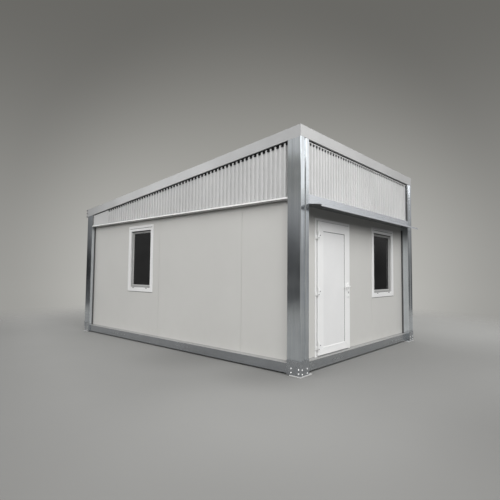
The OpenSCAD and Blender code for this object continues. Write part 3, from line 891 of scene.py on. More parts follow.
class Solid:
    """A mesh under construction, made of closed shells."""

    def __init__(self, place: Matrix = HERE) -> None:
        """Starts an empty mesh, whose points are carried into the frame by the given matrix."""
        self.mesh = bmesh.new()
        self.place = place

    def loft(self, rings: Sequence[Sequence[Triple]]) -> None:
        """Joins rings with the same number of points by faces, and closes both ends."""
        made = [[self.mesh.verts.new(self.place @ Vector(p)) for p in ring] for ring in rings]
        count = len(made[0])
        for a, b in zip(made, made[1:]):
            for i in range(count):
                j = (i + 1) % count
                self.mesh.faces.new((a[i], a[j], b[j], b[i]))
        self.mesh.faces.new(list(reversed(made[0])))
        self.mesh.faces.new(made[-1])

    def prism(self, outline: Sequence[Point], axis: Axis, low: End, high: End) -> None:
        """Adds a prism whose ends may be cut at a slope.

        Args:
            outline: the section, in the two other axes in their usual order.
            axis: the prism's axis.
            low: where it starts along the axis, or a function of the section's point.
            high: where it ends along the axis, or a function of the section's point.
        """
        def at(p: Point, end: End) -> Triple:
            """Returns the end point over a point of the section."""
            place = list(p)
            place.insert(axis.value, end(*p) if callable(end) else end)
            return tuple(place)

        self.loft([[at(p, end) for p in outline] for end in (low, high)])

    def box(self, low: Triple, high: Triple) -> None:
        """Adds a box between two opposite corners."""
        self.prism(Rect(*low[:2], *high[:2]).corners(), Axis.Z, low[2], high[2])

    def turned(self, profile: Sequence[Point], base: Triple, along: Triple,
               sides: int = 20) -> None:
        """Adds a turned shape.

        Args:
            profile: (radius, distance along the axis) from one end to the other.
            base: the point where the distance is 0.
            along: the axis's direction.
            sides: how many sides the shape has.
        """
        turn = Vector(along).to_track_quat("Z", "Y").to_matrix()
        angles = [2 * math.pi * (i + 0.5) / sides for i in range(sides)]
        self.loft([[tuple(Vector(base) + turn @ Vector((r * math.cos(a), r * math.sin(a), d)))
                    for a in angles] for r, d in profile])

    def member(self, stations: Sequence[Station], side: Side,
               seam: float = MITRE_SEAM) -> None:
        """Adds one mitred member of a rectangular frame.

        Args:
            stations: the section's closed outline, each point as the rectangle that it runs
                along and its depth behind the frame's face.
            side: which member it is.
            seam: the width of the joint that is left at each mitre.
        """
        rings: list[list[Triple]] = [[], []]
        for rect, depth in stations:
            corners = rect.corners()
            a, b = Vector(corners[side.value]), Vector(corners[(side.value + 1) % 4])
            run = (b - a).normalized() * seam / 2
            for ring, p in zip(rings, (a + run, b - run)):
                ring.append((p.x, depth, p.y))
        self.loft(rings)

    def ring(self, stations: Sequence[Station], seam: float = MITRE_SEAM,
             sides: Sequence[Side] = tuple(Side)) -> None:
        """Adds the mitred members of a rectangular frame."""
        for side in sides:
            self.member(stations, side, seam)

    def hex_bolt(self, base: Triple, along: Triple, size: float, height: float) -> None:
        """Adds a washer and a chamfered hexagon head.

        Args:
            base: the point on the surface under the washer.
            along: the direction that the head faces.
            size: the thread's diameter.
            height: how far the head stands out.
        """
        washer, head, chamfer = size, size * 0.88, size * 0.72
        thin = height * 0.22
        self.turned([(washer, 0), (washer, thin * 0.7), (washer * 0.95, thin)], base, along)
        self.turned([(head, thin), (head, height * 0.84), (chamfer, height)], base, along, 6)

    def cap(self, base: Triple, along: Triple, radius: float, height: float) -> None:
        """Adds a domed cover cap with a thin rim.

        Args:
            base: the point on the surface under the cap.
            along: the direction that the cap faces.
            radius: the rim's radius.
            height: how far the dome stands out.
        """
        dome = ((1.0, 0), (1.0, 0.18), (0.94, 0.26), (0.84, 0.30), (0.78, 0.62), (0.62, 0.86),
                (0.36, 0.97), (0.05, 1.0))
        self.turned([(radius * r, height * h) for r, h in dome], base, along)

    def screw(self, base: Triple, along: Triple, radius: float) -> None:
        """Adds a low domed screw head with a recess."""
        head = ((1.0, 0), (1.0, 0.25), (0.85, 0.48), (0.5, 0.62), (0.42, 0.60), (0.36, 0.2))
        self.turned([(radius * r, radius * h) for r, h in head], base, along, 14)

    def data(self, name: str) -> bpy.types.Mesh:
        """Returns the finished mesh."""
        made = bpy.data.meshes.new(name)
        self.mesh.to_mesh(made)
        self.mesh.free()
        return made

    def piece(self, name: str, finish: Finish, body: str = CABIN, fold: Fold | None = None,
              replaces: Sequence[str] = ()) -> None:
        """Turns the finished solid into a piece of the object.

        Args:
            name: the piece's name.
            finish: its finish.
            body: the body that it rides on.
            fold: how its edges are rounded, or None for edges as they are.
            replaces: the frame's nodes that it stands for.
        """
        bmesh.ops.recalc_face_normals(self.mesh, faces=self.mesh.faces)
        data = self.data(name)
        data.shade_smooth()
        data.set_sharp_from_angle(angle=math.radians(SHARP_ANGLE))
        data.materials.append(finish.material())
        made = put_in_scene(name, data)
        if fold:
            fold.put_on(made)
        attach(made, body)
        if replaces:
            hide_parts(*replaces)
        log.info("%s: %d faces on %s", name, len(data.polygons), body)


def dress(node: str, finish: Finish, fold: Fold | None = None) -> None:
    """Gives a node of the frame its finish and rounds its edges.

    Args:
        node: the node's name.
        finish: its finish.
        fold: how its edges are rounded, or None for edges as they are.
    """
    thing = frame["nodes"][node]
    for place in thing.material_slots:
        place.material = finish.material()
    if fold:
        fold.put_on(thing, WELD)
    log.info("%s: dressed in %s", node, finish.name)


# ---- the frame's own lines ----


@dataclass(frozen=True)
class Corner:
    """A corner of the cabin, with the directions along X and Y that lead inwards."""

    name: str
    x: float
    y: float
    sx: int
    sy: int

    def at(self, across: float, along: float) -> Point:
        """Returns the point at the given distances inwards."""
        return self.x + self.sx * across, self.y + self.sy * along


class Lines:
    """Levels and faces of the cabin, read from the frame."""

    def __init__(self) -> None:
        """Reads the roof's slope and the fascias' outer faces."""
        fascia, front = Box.of("roof_beam_left"), Box.of("roof_beam_front")
        self.left, self.right = fascia.low.x, Box.of("roof_beam_right").high.x
        self.front, self.rear = fascia.low.y, fascia.high.y
        self.top, self.fascia = fascia.high.z, front.size.z
        self.rise = fascia.size.z - self.fascia
        self.length = self.rear - self.front
        self.corners = [Corner(f"{end}_{side}", x, y, sx, sy)
                        for end, y, sy in (("front", self.front, 1), ("rear", self.rear, -1))
                        for side, x, sx in (("left", self.left, 1), ("right", self.right, -1))]

    def roof(self, y: float) -> float:
        """Returns the height of the fascia's top edge at a distance along the cabin."""
        return self.top - self.rise * (y - self.front) / self.length

    def eave(self, y: float) -> float:
        """Returns the height of the fascia's lower edge at a distance along the cabin."""
        return self.roof(y) - self.fascia


LINES = Lines()


# ---- sub-assemblies ----


@dataclass
class Posts:
    """The four corner posts, each folded from one sheet with a pressed groove in its face."""

    width: float = 0.207
    depth: float = 0.225
    sheet: float = 0.004
    bend: float = 0.006
    groove_start: float = 0.092
    groove_width: float = 0.038
    groove_depth: float = 0.012
    side_return: float = 0.090
    front_return: float = 0.147
    rear_return: float = 0.090
    base: float = 0.012
    clearance: float = 0.0002
    # Sizes of the dark strips by the posts' flanks, which are painted shade.
    seal: float = 0.003
    shade_strip_wide: float = 0.034
    shade_strip_edge: float = 0.004
    shade_strip_gap: float = 0.0005
    shade_strip_short: float = 0.001
    plug: float = 0.008
    plug_places: Profile = ((0.068, 2.272), (0.166, 2.272))
    head_bolt: float = 3.240

    def section(self, back: float) -> list[Point]:
        """Returns a post's section, drawn from its outer corner.

        Args:
            back: how far the return beside the wall reaches.

        Returns:
            The section's outline.
        """
        h = self.sheet / 2
        g0, g1 = self.groove_start, self.groove_start + self.groove_width
        slant = self.groove_depth / 2
        path = [(self.side_return, self.depth - h), (h, self.depth - h), (h, h), (g0, h),
                (g0 + slant, h + self.groove_depth), (g1 - slant, h + self.groove_depth),
                (g1, h), (self.width - h, h), (self.width - h, back)]
        return folded(path, self.sheet, self.bend)

    def build(self) -> None:
        """Makes the four posts, cut along the roof's slope."""
        for corner in LINES.corners:
            back = self.front_return if corner.sy > 0 else self.rear_return
            solid = Solid()
            solid.prism([corner.at(x, y) for x, y in self.section(back)], Axis.Z, self.base,
                        lambda x, y: LINES.eave(y) - self.clearance)
            node = f"post_{corner.name}"
            solid.piece(f"{node}_folded", POST_ZINC, fold=SHARP, replaces=[node])
        self.plugs()
        self.corner_shade_strips()

    def corner_shade_strips(self) -> None:
        """Adds dark strips where the walls and the cladding meet the posts' flanks: painted shade
        in those corners.
        """
        solid = Solid()
        trims = Box.of("cladding_trims")
        wall, sheet = Box.of("left_wall").low, Box.of("cladding_left").low
        ends = {1: (Box.of("front_wall_left").low.y, Box.of("canopy").low.z,
                    Box.of("cladding_front"), Box.of("cladding_front").low.y),
                -1: (Box.of("rear_wall").high.y, trims.low.z,
                     Box.of("cladding_rear"), Box.of("cladding_rear").high.y)}
        out_x, out_y = ((d, d + self.seal) for d in (self.width, self.depth))
        for corner in sorted(LINES.corners, key=lambda c: -c.sx):
            face, under, ribbed, edge = ends[corner.sy]
            eave = LINES.eave(corner.at(0.0, self.depth)[1])
            for xs, ys, levels in (
                    (self.lap(wall.x - LINES.left), out_y, (wall.z, trims.low.z)),
                    (self.flush(sheet.x - LINES.left), out_y, (trims.high.z, eave)),
                    (out_x, self.lap(abs(face - corner.y)), (wall.z, under)),
                    (out_x, self.flush(abs(edge - corner.y)), (ribbed.low.z, ribbed.high.z))):
                a, b = corner.at(xs[0], ys[0]), corner.at(xs[1], ys[1])
                solid.box((*map(min, a, b), levels[0] + self.shade_strip_short),
                          (*map(max, a, b), levels[1] - self.shade_strip_short))
        solid.piece("corner_shade_strips", SHADE_STRIP_DARK)

    def lap(self, face: float) -> Point:
        """Returns where a wide strip of painted shade starts and ends in front of a wall's face.
        """
        return face - self.shade_strip_wide, face - self.shade_strip_gap

    def flush(self, face: float) -> Point:
        """Returns where a strip of painted shade starts and ends that fills the step up to a
        sheet's face.
        """
        return self.shade_strip_edge, face - self.shade_strip_gap

    def plugs(self) -> None:
        """Adds the dark plugs in the front posts' faces and the bolts at their heads."""
        solid = Solid()
        r, groove = self.plug, self.groove_start + self.groove_width / 2
        for corner in LINES.corners[:2]:
            for x, z, deep in (*((x, z, 0.0) for x, z in self.plug_places),
                               (groove, self.head_bolt, self.groove_depth)):
                solid.turned([(r, 0.0), (r, 0.0014), (r * 0.7, 0.0026)],
                             (*corner.at(x, deep), z), (0, -1, 0), 18)
        solid.piece("post_plugs", BLACK_SEAL_AND_SHADE)


@dataclass
class BaseFrame:
    """The base beams and the corner feet with their bolts."""

    cap: float = 0.011
    cap_height: float = 0.0056
    shoe: float = 0.004
    side_places: Row = (0.026, 0.148)
    front_places: Row = (0.039, 0.159)
    side_levels: Row = (0.045, 0.102)
    front_levels: Row = (0.037, 0.095)
    post: Point = (0.207, 0.225)
    tray: float = 0.001
    upstand: float = 0.014
    lip: float = 0.004
    wall_gap: float = 0.0004
    beam_gap: float = 0.0001
    end_gap: float = 0.0003

    def build(self) -> None:
        """Dresses the beams and feet and adds the bolts and the flashings."""
        for side, finish in (("front", BEAM_ZINC_X), ("rear", BEAM_ZINC_X),
                             ("left", BEAM_ZINC_Y), ("right", BEAM_ZINC_Y)):
            dress(f"base_beam_{side}", finish, Fold(0.004, 3))
        for corner in LINES.corners:
            dress(f"foot_{corner.name}", SHOE_ZINC, Fold())
            self.bolts(corner)
        self.flashings()

    def flashings(self) -> None:
        """Lays a thin white tray on each beam's ledge, turned up against the wall."""
        door = Box.of("door_frame")
        x0, x1 = LINES.left + self.post[0], LINES.right - self.post[0]
        y0, y1 = LINES.front + self.post[1], LINES.rear - self.post[1]
        front, rear, left, right = (Box.of(f"base_beam_{side}")
                                    for side in ("front", "rear", "left", "right"))
        t = self.tray
        for name, axis, wall, edge, level, runs in (
                ("front", Axis.X, Box.of("front_wall_left").low.y, front.low.y, front.high.z,
                 ((x0, door.low.x), (door.high.x, x1))),
                ("door", Axis.X, door.low.y, front.low.y, front.high.z,
                 ((door.low.x, door.high.x),)),
                ("rear", Axis.X, Box.of("rear_wall").high.y, rear.high.y, rear.high.z,
                 ((x0, x1),)),
                ("left", Axis.Y, Box.of("left_wall").low.x, left.low.x, left.high.z, ((y0, y1),)),
                ("right", Axis.Y, Box.of("right_wall").high.x, right.high.x, right.high.z,
                 ((y0, y1),))):
            way = 1 if edge > wall else -1
            rise = t if name == "door" else self.upstand
            face = wall + way * self.wall_gap
            outline = [(face, level + rise), (face, level + self.beam_gap),
                       (edge, level + self.beam_gap), (edge, level - self.lip),
                       (edge + way * t, level - self.lip), (edge + way * t, level + t)]
            if rise > t:
                outline += [(face + way * t, level + t), (face + way * t, level + rise)]
            solid = Solid()
            for low, high in runs:
                solid.prism(outline, axis, low + self.end_gap, high - self.end_gap)
            solid.piece(f"base_flashing_{name}", FLASHING)

    def bolts(self, corner: Corner) -> None:
        """Adds the bolts of one foot, two by two on each outer face, as white domes: the white is
        a painted highlight.
        """
        solid = Solid()
        size = self.cap, self.cap_height
        for z in self.side_levels:
            for y in self.side_places:
                solid.cap((*corner.at(-self.shoe, y), z), (-corner.sx, 0, 0), *size)
        for z in self.front_levels:
            for x in self.front_places:
                solid.cap((*corner.at(x, -self.shoe), z), (0, -corner.sy, 0), *size)
        solid.piece(f"bolt_caps_{corner.name}", BOLT_PAINTED_HIGHLIGHT)


@dataclass
class Roof:
    """The fascias, the ribbed sheet with its screws, the gutter and the inner ceiling."""

    rib_pitch: float = 0.250
    rib_foot: float = 0.070
    drop: float = 0.015
    screw_rows: int = 6
    screw_radius: float = 0.007
    screw_margin: float = 0.12
    plate_bolts: Row = (-0.030, -0.100, -0.170)
    bolt_size: float = 0.015
    bolt_height: float = 0.0085
    bolt_inset: float = 0.009
    bolt_sunk: float = 0.0005

    def build(self) -> None:
        """Dresses the roof's nodes and adds the screws and bolts."""
        for node, finish, fold in (("roof_beam_left", FASCIA_SIDE, SOFT),
                                   ("roof_beam_right", FASCIA_SIDE, SOFT),
                                   ("roof_beam_front", FASCIA_FRONT, SOFT),
                                   ("roof_beam_rear", FASCIA_FRONT, SOFT),
                                   ("roof_sheet", ROOF_COAT, Fold(0.003, 2)),
                                   ("rear_gutter", FASCIA_FRONT, THIN),
                                   ("ceiling_panel", LINING, None)):
            dress(node, finish, fold)
        self.screws()
        self.gutter_bolts()

    def screws(self) -> None:
        """Adds a screw with its washer on each rib, in rows across the roof."""
        sheet = Box.of("roof_sheet")
        width = sheet.size.x
        count = 1 + math.floor((width - self.rib_foot) / self.rib_pitch)
        first = sheet.low.x + (width - (count - 1) * self.rib_pitch) / 2
        solid = Solid()
        up = tuple(Vector((0, LINES.rise / LINES.length, 1)).normalized())
        r = self.screw_radius
        for row in range(self.screw_rows):
            y = sheet.low.y + self.screw_margin + (
                sheet.size.y - 2 * self.screw_margin) * row / (self.screw_rows - 1)
            for i in range(count):
                spot = (first + i * self.rib_pitch, y, LINES.roof(y) - self.drop)
                solid.turned([(r * 1.3, 0), (r * 1.2, 0.002)], spot, up, 16)
                solid.turned([(r * 0.75, 0.002), (r * 0.7, 0.0065), (r * 0.5, 0.0075)], spot,
                             up, 6)
        solid.piece("roof_screws", BOLT_ZINC)

    def gutter_bolts(self) -> None:
        """Adds three dark bolts on each end plate of the gutter."""
        gutter = Box.of("rear_gutter")
        solid = Solid()
        y = (LINES.rear + gutter.high.y) / 2 + self.bolt_inset
        for x, way in ((gutter.low.x, -1), (gutter.high.x, 1)):
            for drop in self.plate_bolts:
                solid.hex_bolt((x - way * self.bolt_sunk, y, gutter.high.z + drop),
                               (way, 0, 0), self.bolt_size, self.bolt_height)
        solid.piece("gutter_bolts", DARK_BOLT)


class Run(Enum):
    """A side of the cabin: its name, the axis its sheet runs along and the way out of it."""

    FRONT = ("front", Axis.X, -1)
    REAR = ("rear", Axis.X, 1)
    LEFT = ("left", Axis.Y, -1)
    RIGHT = ("right", Axis.Y, 1)


@dataclass
class Cladding:
    """The corrugated upper cladding with its foam closures, cap strips, lower trims and dark
    strips of painted shade.
    """

    depth: float = 0.018
    ridge: float = 0.030
    flank: float = 0.009
    front_pitch: float = 0.080
    side_pitch: float = 0.0855
    flat: float = 0.676
    foam: float = 0.044
    front_foam: float = 0.052
    foam_start: float = 0.003
    foam_gap: float = 0.002
    # A dark strip along the sheet's top edge: painted shade under the fascia.
    eave_shade_strip: float = 0.014
    strip_gap: float = 0.001
    strip_sheet: float = 0.001
    # A dark strip on the side trims' lower faces: painted shadow under the trims.
    trim_shade: float = 0.009
    trim_shade_sunk: float = 0.0008
    cap_lip: float = 0.012
    cap_out: float = 0.0015
    cap_sheet: float = 0.0012
    hair: float = 0.0002
    air: float = 0.0004

    def build(self) -> None:
        """Dresses the sheets and trims and adds closures and cap strips."""
        for run in Run:
            dress(f"cladding_{run.value[0]}", RIBBED_COAT, Fold(0.0028, 2, 20.0))
            self.closures(run)
        dress("cladding_trims", TRIM_COAT, Fold(0.0008, 2))
        self.trim_shade_strips()

    def trim_shade_strips(self) -> None:
        """Adds a dark strip along the lower part of the side trims' faces, as painted shadow under
        the trims.
        """
        trims, sheet = Box.of("cladding_trims"), Box.of("cladding_left")
        solid = Solid()
        for x, way in ((trims.low.x, -1), (trims.high.x, 1)):
            xs = sorted((x - way * self.hair, x + way * self.trim_shade_sunk))
            solid.box((xs[0], sheet.low.y + self.strip_gap, trims.low.z + 0.0005),
                      (xs[1], sheet.high.y - self.strip_gap, trims.low.z + self.trim_shade))
        solid.piece("trim_shade_strips", SHADE_STRIP_DARK)

    def valleys(self, length: float, pitch: float, flat: float) -> list[Point]:
        """Returns the start and the end of each valley along a sheet.

        Args:
            length: the sheet's length.
            pitch: the distance between ridges.
            flat: the length of the flat stretch that the sheet starts with.

        Returns:
            The distances from the sheet's start.
        """
        start = flat + self.flank if flat else 0.0
        count = math.floor((length - start) / pitch + 1e-6)
        first = start + (length - start - (count - 1) * pitch) / 2
        half = self.ridge / 2
        edges = [flat, *(first + i * pitch + d for i in range(count) for d in (-half, half)),
                 length]
        return list(zip(edges[0::2], edges[1::2]))

    def closures(self, run: Run) -> None:
        """Adds the foam in each valley, a dark strip of painted shade under the top edge and, at
        the front, the cap strip over the top edge.

        Args:
            run: which side of the cabin the sheet is on.
        """
        side, axis, outwards = run.value
        box = Box.of(f"cladding_{side}")
        along_y, in_front = axis is Axis.Y, run is Run.FRONT
        across = Axis.X if along_y else Axis.Y
        out = (box.low if outwards < 0 else box.high)[across.value]
        start = (box.low if in_front else box.high)[axis.value]
        length = box.size[axis.value]

        def block(solid: Solid, ends: Point, faces: Point, low: float, high: float) -> None:
            """Adds an upright block under the sheet's top edge.

            Args:
                solid: the mesh to add to.
                ends: its ends along the sheet.
                faces: how far its faces are behind the sheet's outer face.
                low: how far its underside is below the sheet's top edge.
                high: how far its top is below the sheet's top edge.
            """
            def under(drop: float) -> End:
                """Returns the height at a distance below the sheet's top edge."""
                return lambda _, y: (LINES.eave(y) if along_y else box.high.z) - self.air - drop

            a, b = (start + (d if in_front else -d) for d in ends)
            near, far = (out - outwards * d for d in faces)
            outline = ([(near, a), (far, a), (far, b), (near, b)] if along_y
                       else [(a, near), (b, near), (b, far), (a, far)])
            solid.prism(outline, Axis.Z, under(low), under(high))

        foam = Solid()
        for a, b in self.valleys(length, self.front_pitch if in_front else self.side_pitch,
                                 self.flat if along_y else 0.0):
            block(foam, (a + self.foam_gap, b - self.foam_gap), (self.foam_start, self.depth),
                  self.front_foam if in_front else self.foam, 0.0)
        # A dark strip all along the top edge: painted shade under the fascia.
        block(foam, (self.strip_gap, length - self.strip_gap), (-self.strip_sheet, self.hair),
              self.eave_shade_strip, self.hair)
        foam.piece(f"closures_{side}", FOAM_AND_EAVE_SHADE)
        if in_front:
            cap = Solid()
            block(cap, (0.0, length), (-self.cap_out, self.cap_sheet - self.cap_out),
                  self.eave_shade_strip + self.cap_lip, self.eave_shade_strip)
            cap.piece(f"cap_strip_{side}", TRIM_COAT, fold=SHARP)


@dataclass
class Walls:
    """The sandwich-panel walls, the lintel, the canopy and the room's floor."""

    screw_pitch: float = 0.30
    screw_inset: float = 0.035
    screw_radius: float = 0.006
    canopy_sheet: float = 0.003

    def build(self) -> None:
        """Dresses the walls, the lintel and the canopy."""
        for node in ("front_wall_left", "front_wall_over_door", "front_wall_right",
                     "left_wall", "right_wall", "rear_wall"):
            dress(node, WALL_SKIN, Fold(0.0008, 1))
        dress("front_lintel", LINTEL_ZINC, Fold(0.004, 3))
        dress("canopy", CANOPY_ZINC, THIN)
        dress("floor_panel", FLOOR_VINYL)
        self.canopy_screws()

    def canopy_screws(self) -> None:
        """Adds the screws that hold the canopy's flat part up against the lintel."""
        lintel = Box.of("front_lintel")
        solid = Solid()
        count = round(lintel.size.x / self.screw_pitch)
        for i in range(count):
            solid.screw((lintel.low.x + lintel.size.x * (i + 0.5) / count,
                         lintel.low.y + self.screw_inset, lintel.low.z - self.canopy_sheet),
                        (0, 0, -1), self.screw_radius)
        solid.piece("canopy_screws", BOLT_ZINC)


@dataclass
class Window:
    """A PVC window: outer frame, sash, glazing bead, seals, vent, drainage caps and strips of
    painted shade.

    Each step of a drainage cap is its half width, half height, corner radius and depth.
    """

    name: str
    place: Matrix
    width: float
    height: float
    side: float = 0.088
    low: float = 0.082
    high: float = 0.105
    depth: float = 0.070
    sash: float = 0.050
    recess: float = 0.025
    glass_recess: float = 0.026
    sash_back: float = 0.013
    sash_lip: float = 0.008
    rebate: float = 0.004
    stop: float = 0.002
    vent_height: float = 0.009
    vent_depth: float = 0.010
    gap: float = 0.004
    bead: float = 0.014
    bead_gap: float = 0.0006
    bead_slope: float = 0.002
    bead_foot: Point = (0.0065, 0.012)
    bead_nose: Point = (-0.004, 0.009)
    bead_fall: float = 0.006
    seal_lap: float = 0.001
    seal_back: float = 0.014
    glass_seal: Triple = (0.0005, 0.005, 0.004)
    # A dark strip along the top of the opening: painted shade from the frame's head.
    top_shade_strip: float = 0.018
    top_shade_out: float = 0.004
    # A dark strip under the frame: painted shadow of the frame on the wall.
    joint: float = 0.007
    joint_back: float = 0.003
    proud: float = 0.0058
    cap_share: float = 0.235
    cap_drop: float = 0.011
    cap_steps: tuple[Row, ...] = (
        (0.022, 0.007, 0.006, 0.0002), (0.022, 0.007, 0.006, -0.003),
        (0.018, 0.005, 0.0045, -0.006))
    # The dark insert in the vent slot is painted shade.
    slot_shade_gap: float = 0.0006
    slot_shade_front: float = 0.0004
    slot_shade_back: float = 0.0005
    slot_shade_end: float = 0.004
    hair: float = 0.0002

    def __post_init__(self) -> None:
        """Works out the window's outline, the opening in its frame and the glass that shows."""
        self.outer = Rect(0, 0, self.width, self.height)
        self.inner = self.outer.inset(self.side, self.low, self.high)
        self.pane = self.inner.inset(self.sash)
        self.seat = self.recess + self.glass_recess

    def build(self) -> None:
        """Makes the frame, sash, bead, seals and small parts."""
        self.frame()
        self.sash_ring()
        self.seals()
        self.caps()
        self.vent()
        dress(f"{self.name}_glass", WINDOW_GLASS)

    def frame(self) -> None:
        """Makes the outer frame, with the vent slot in its top member."""
        outer, inner = self.outer, self.inner
        rebate, stop = inner.inset(-self.rebate), self.recess + self.stop
        plain = [(outer, 0.0), (inner, 0.0), (inner, stop), (rebate, stop),
                 (rebate, self.depth), (outer, self.depth)]
        half, middle, share = self.vent_height / 2, self.high / 2, self.side / self.high
        over, under = (outer.inset(d * share, top=d, bottom=0.0)
                       for d in (middle - half, middle + half))
        slotted = [plain[0], (over, 0.0), (over, self.vent_depth), (under, self.vent_depth),
                   (under, 0.0), *plain[1:]]
        solid = Solid(self.place)
        solid.ring(plain, sides=(Side.BOTTOM, Side.RIGHT, Side.LEFT))
        solid.member(slotted, Side.TOP)
        solid.piece(f"{self.name}_outer", FRAME_PVC, fold=CREASED,
                    replaces=[f"{self.name}_frame"])

    def sash_ring(self) -> None:
        """Makes the sash and the bead that holds the glass."""
        pane, front, seat = self.pane, self.recess, self.seat
        edge, lip = self.inner.inset(self.gap), pane.inset(-self.bead)
        back, touch = seat + self.sash_back, seat - self.seal_lap
        sash = Solid(self.place)
        sash.ring([(edge, front), (lip, front), (lip, front + self.sash_lip), (pane, touch),
                   (pane, back), (edge, back)])
        sash.piece(f"{self.name}_sash", SASH_GREY, fold=Fold(0.0018, 3))
        bead = Solid(self.place)
        foot, slope = lip.inset(self.bead_gap), pane.inset(self.bead_slope)
        (low, high), (nose, rise) = self.bead_foot, self.bead_nose
        bead.ring([(foot, front + low), (pane.inset(nose), front + rise),
                   (slope, seat - self.bead_fall), (slope, touch), (pane, touch),
                   (foot, front + high)])
        bead.piece(f"{self.name}_bead", BEAD_GREY, fold=SHARP)

    def seals(self) -> None:
        """Makes the dark seals round the sash and round the glass, and strips of painted shade at
        the top of the opening and under the frame.
        """
        inner, pane, front = self.inner, self.pane, self.recess
        solid = Solid(self.place)

        def strip(outside: Rect, inside: Rect, front: float, slant: float,
                  back: float) -> list[Station]:
            """Returns the section of a seal between two rectangles and two depths."""
            return [(outside, front), (inside, front + slant), (inside, back), (outside, back)]

        solid.ring(strip(inner.inset(-self.seal_lap), inner.inset(self.gap + self.seal_lap),
                         front + self.sash_lip, 0.0, front + self.seal_back), 0.0)
        # Painted shade: a dark strip along the top of the opening.
        solid.member(strip(inner, inner.inset(0.0, top=self.top_shade_strip), front - self.top_shade_out,
                           0.0, front + self.hair), Side.TOP, 0.0)
        # Painted shadow: a dark strip under the frame's bottom member.
        solid.loft([[(x, self.joint_back, 0.0), (x, self.joint_back, -self.joint),
                     (x, self.proud, -self.joint), (x, self.proud, 0.0)]
                    for x in (0.0, self.width)])
        near, far, thick = self.glass_seal
        solid.ring(strip(pane.inset(near), pane.inset(far), self.seat - thick, thick / 2,
                         self.seat), 0.0)
        solid.piece(f"{self.name}_seals", BLACK_SEAL_AND_SHADE)

    def caps(self) -> None:
        """Adds the two drainage caps on the bottom member."""
        solid = Solid(self.place)
        z = self.low - self.cap_drop
        for x in (self.width * self.cap_share, self.width * (1.0 - self.cap_share)):
            solid.loft([[(p, y, q) for p, q in
                         Rect(x - wide, z - tall, x + wide, z + tall).rounded(corner)]
                        for wide, tall, corner, y in self.cap_steps])
        solid.piece(f"{self.name}_drain_caps", CAP_GREY)

    def vent(self) -> None:
        """Adds a dark insert in the vent slot, as painted shade."""
        slot_shade = Solid(self.place)
        level, half = self.height - self.high / 2, self.vent_height / 2 - self.slot_shade_gap
        near, far = self.slot_shade_front, self.vent_depth - self.slot_shade_back
        end = self.side / 2 + self.slot_shade_end
        slot_shade.loft([[(x, near, level - half), (x, near, level + half),
                      (x, far, level + half), (x, far, level - half)]
                     for x in (end, self.width - end)])
        slot_shade.piece(f"{self.name}_vent", SLOT_SHADE_GREY)


def window_in_front() -> Window:
    """Returns the front window, set where its node in the frame is."""
    box = Box.of("front_window_frame")
    return Window("front_window", Matrix.Translation(box.low), box.size.x, box.size.z)


def window_in_left() -> Window:
    """Returns the left window, turned to face the left and set where its node is."""
    box = Box.of("left_window_frame")
    turn = Matrix.Rotation(math.radians(-90), 4, "Z")
    place = Matrix.Translation((box.low.x, box.high.y, box.low.z)) @ turn
    return Window("left_window", place, box.size.y, box.size.z)


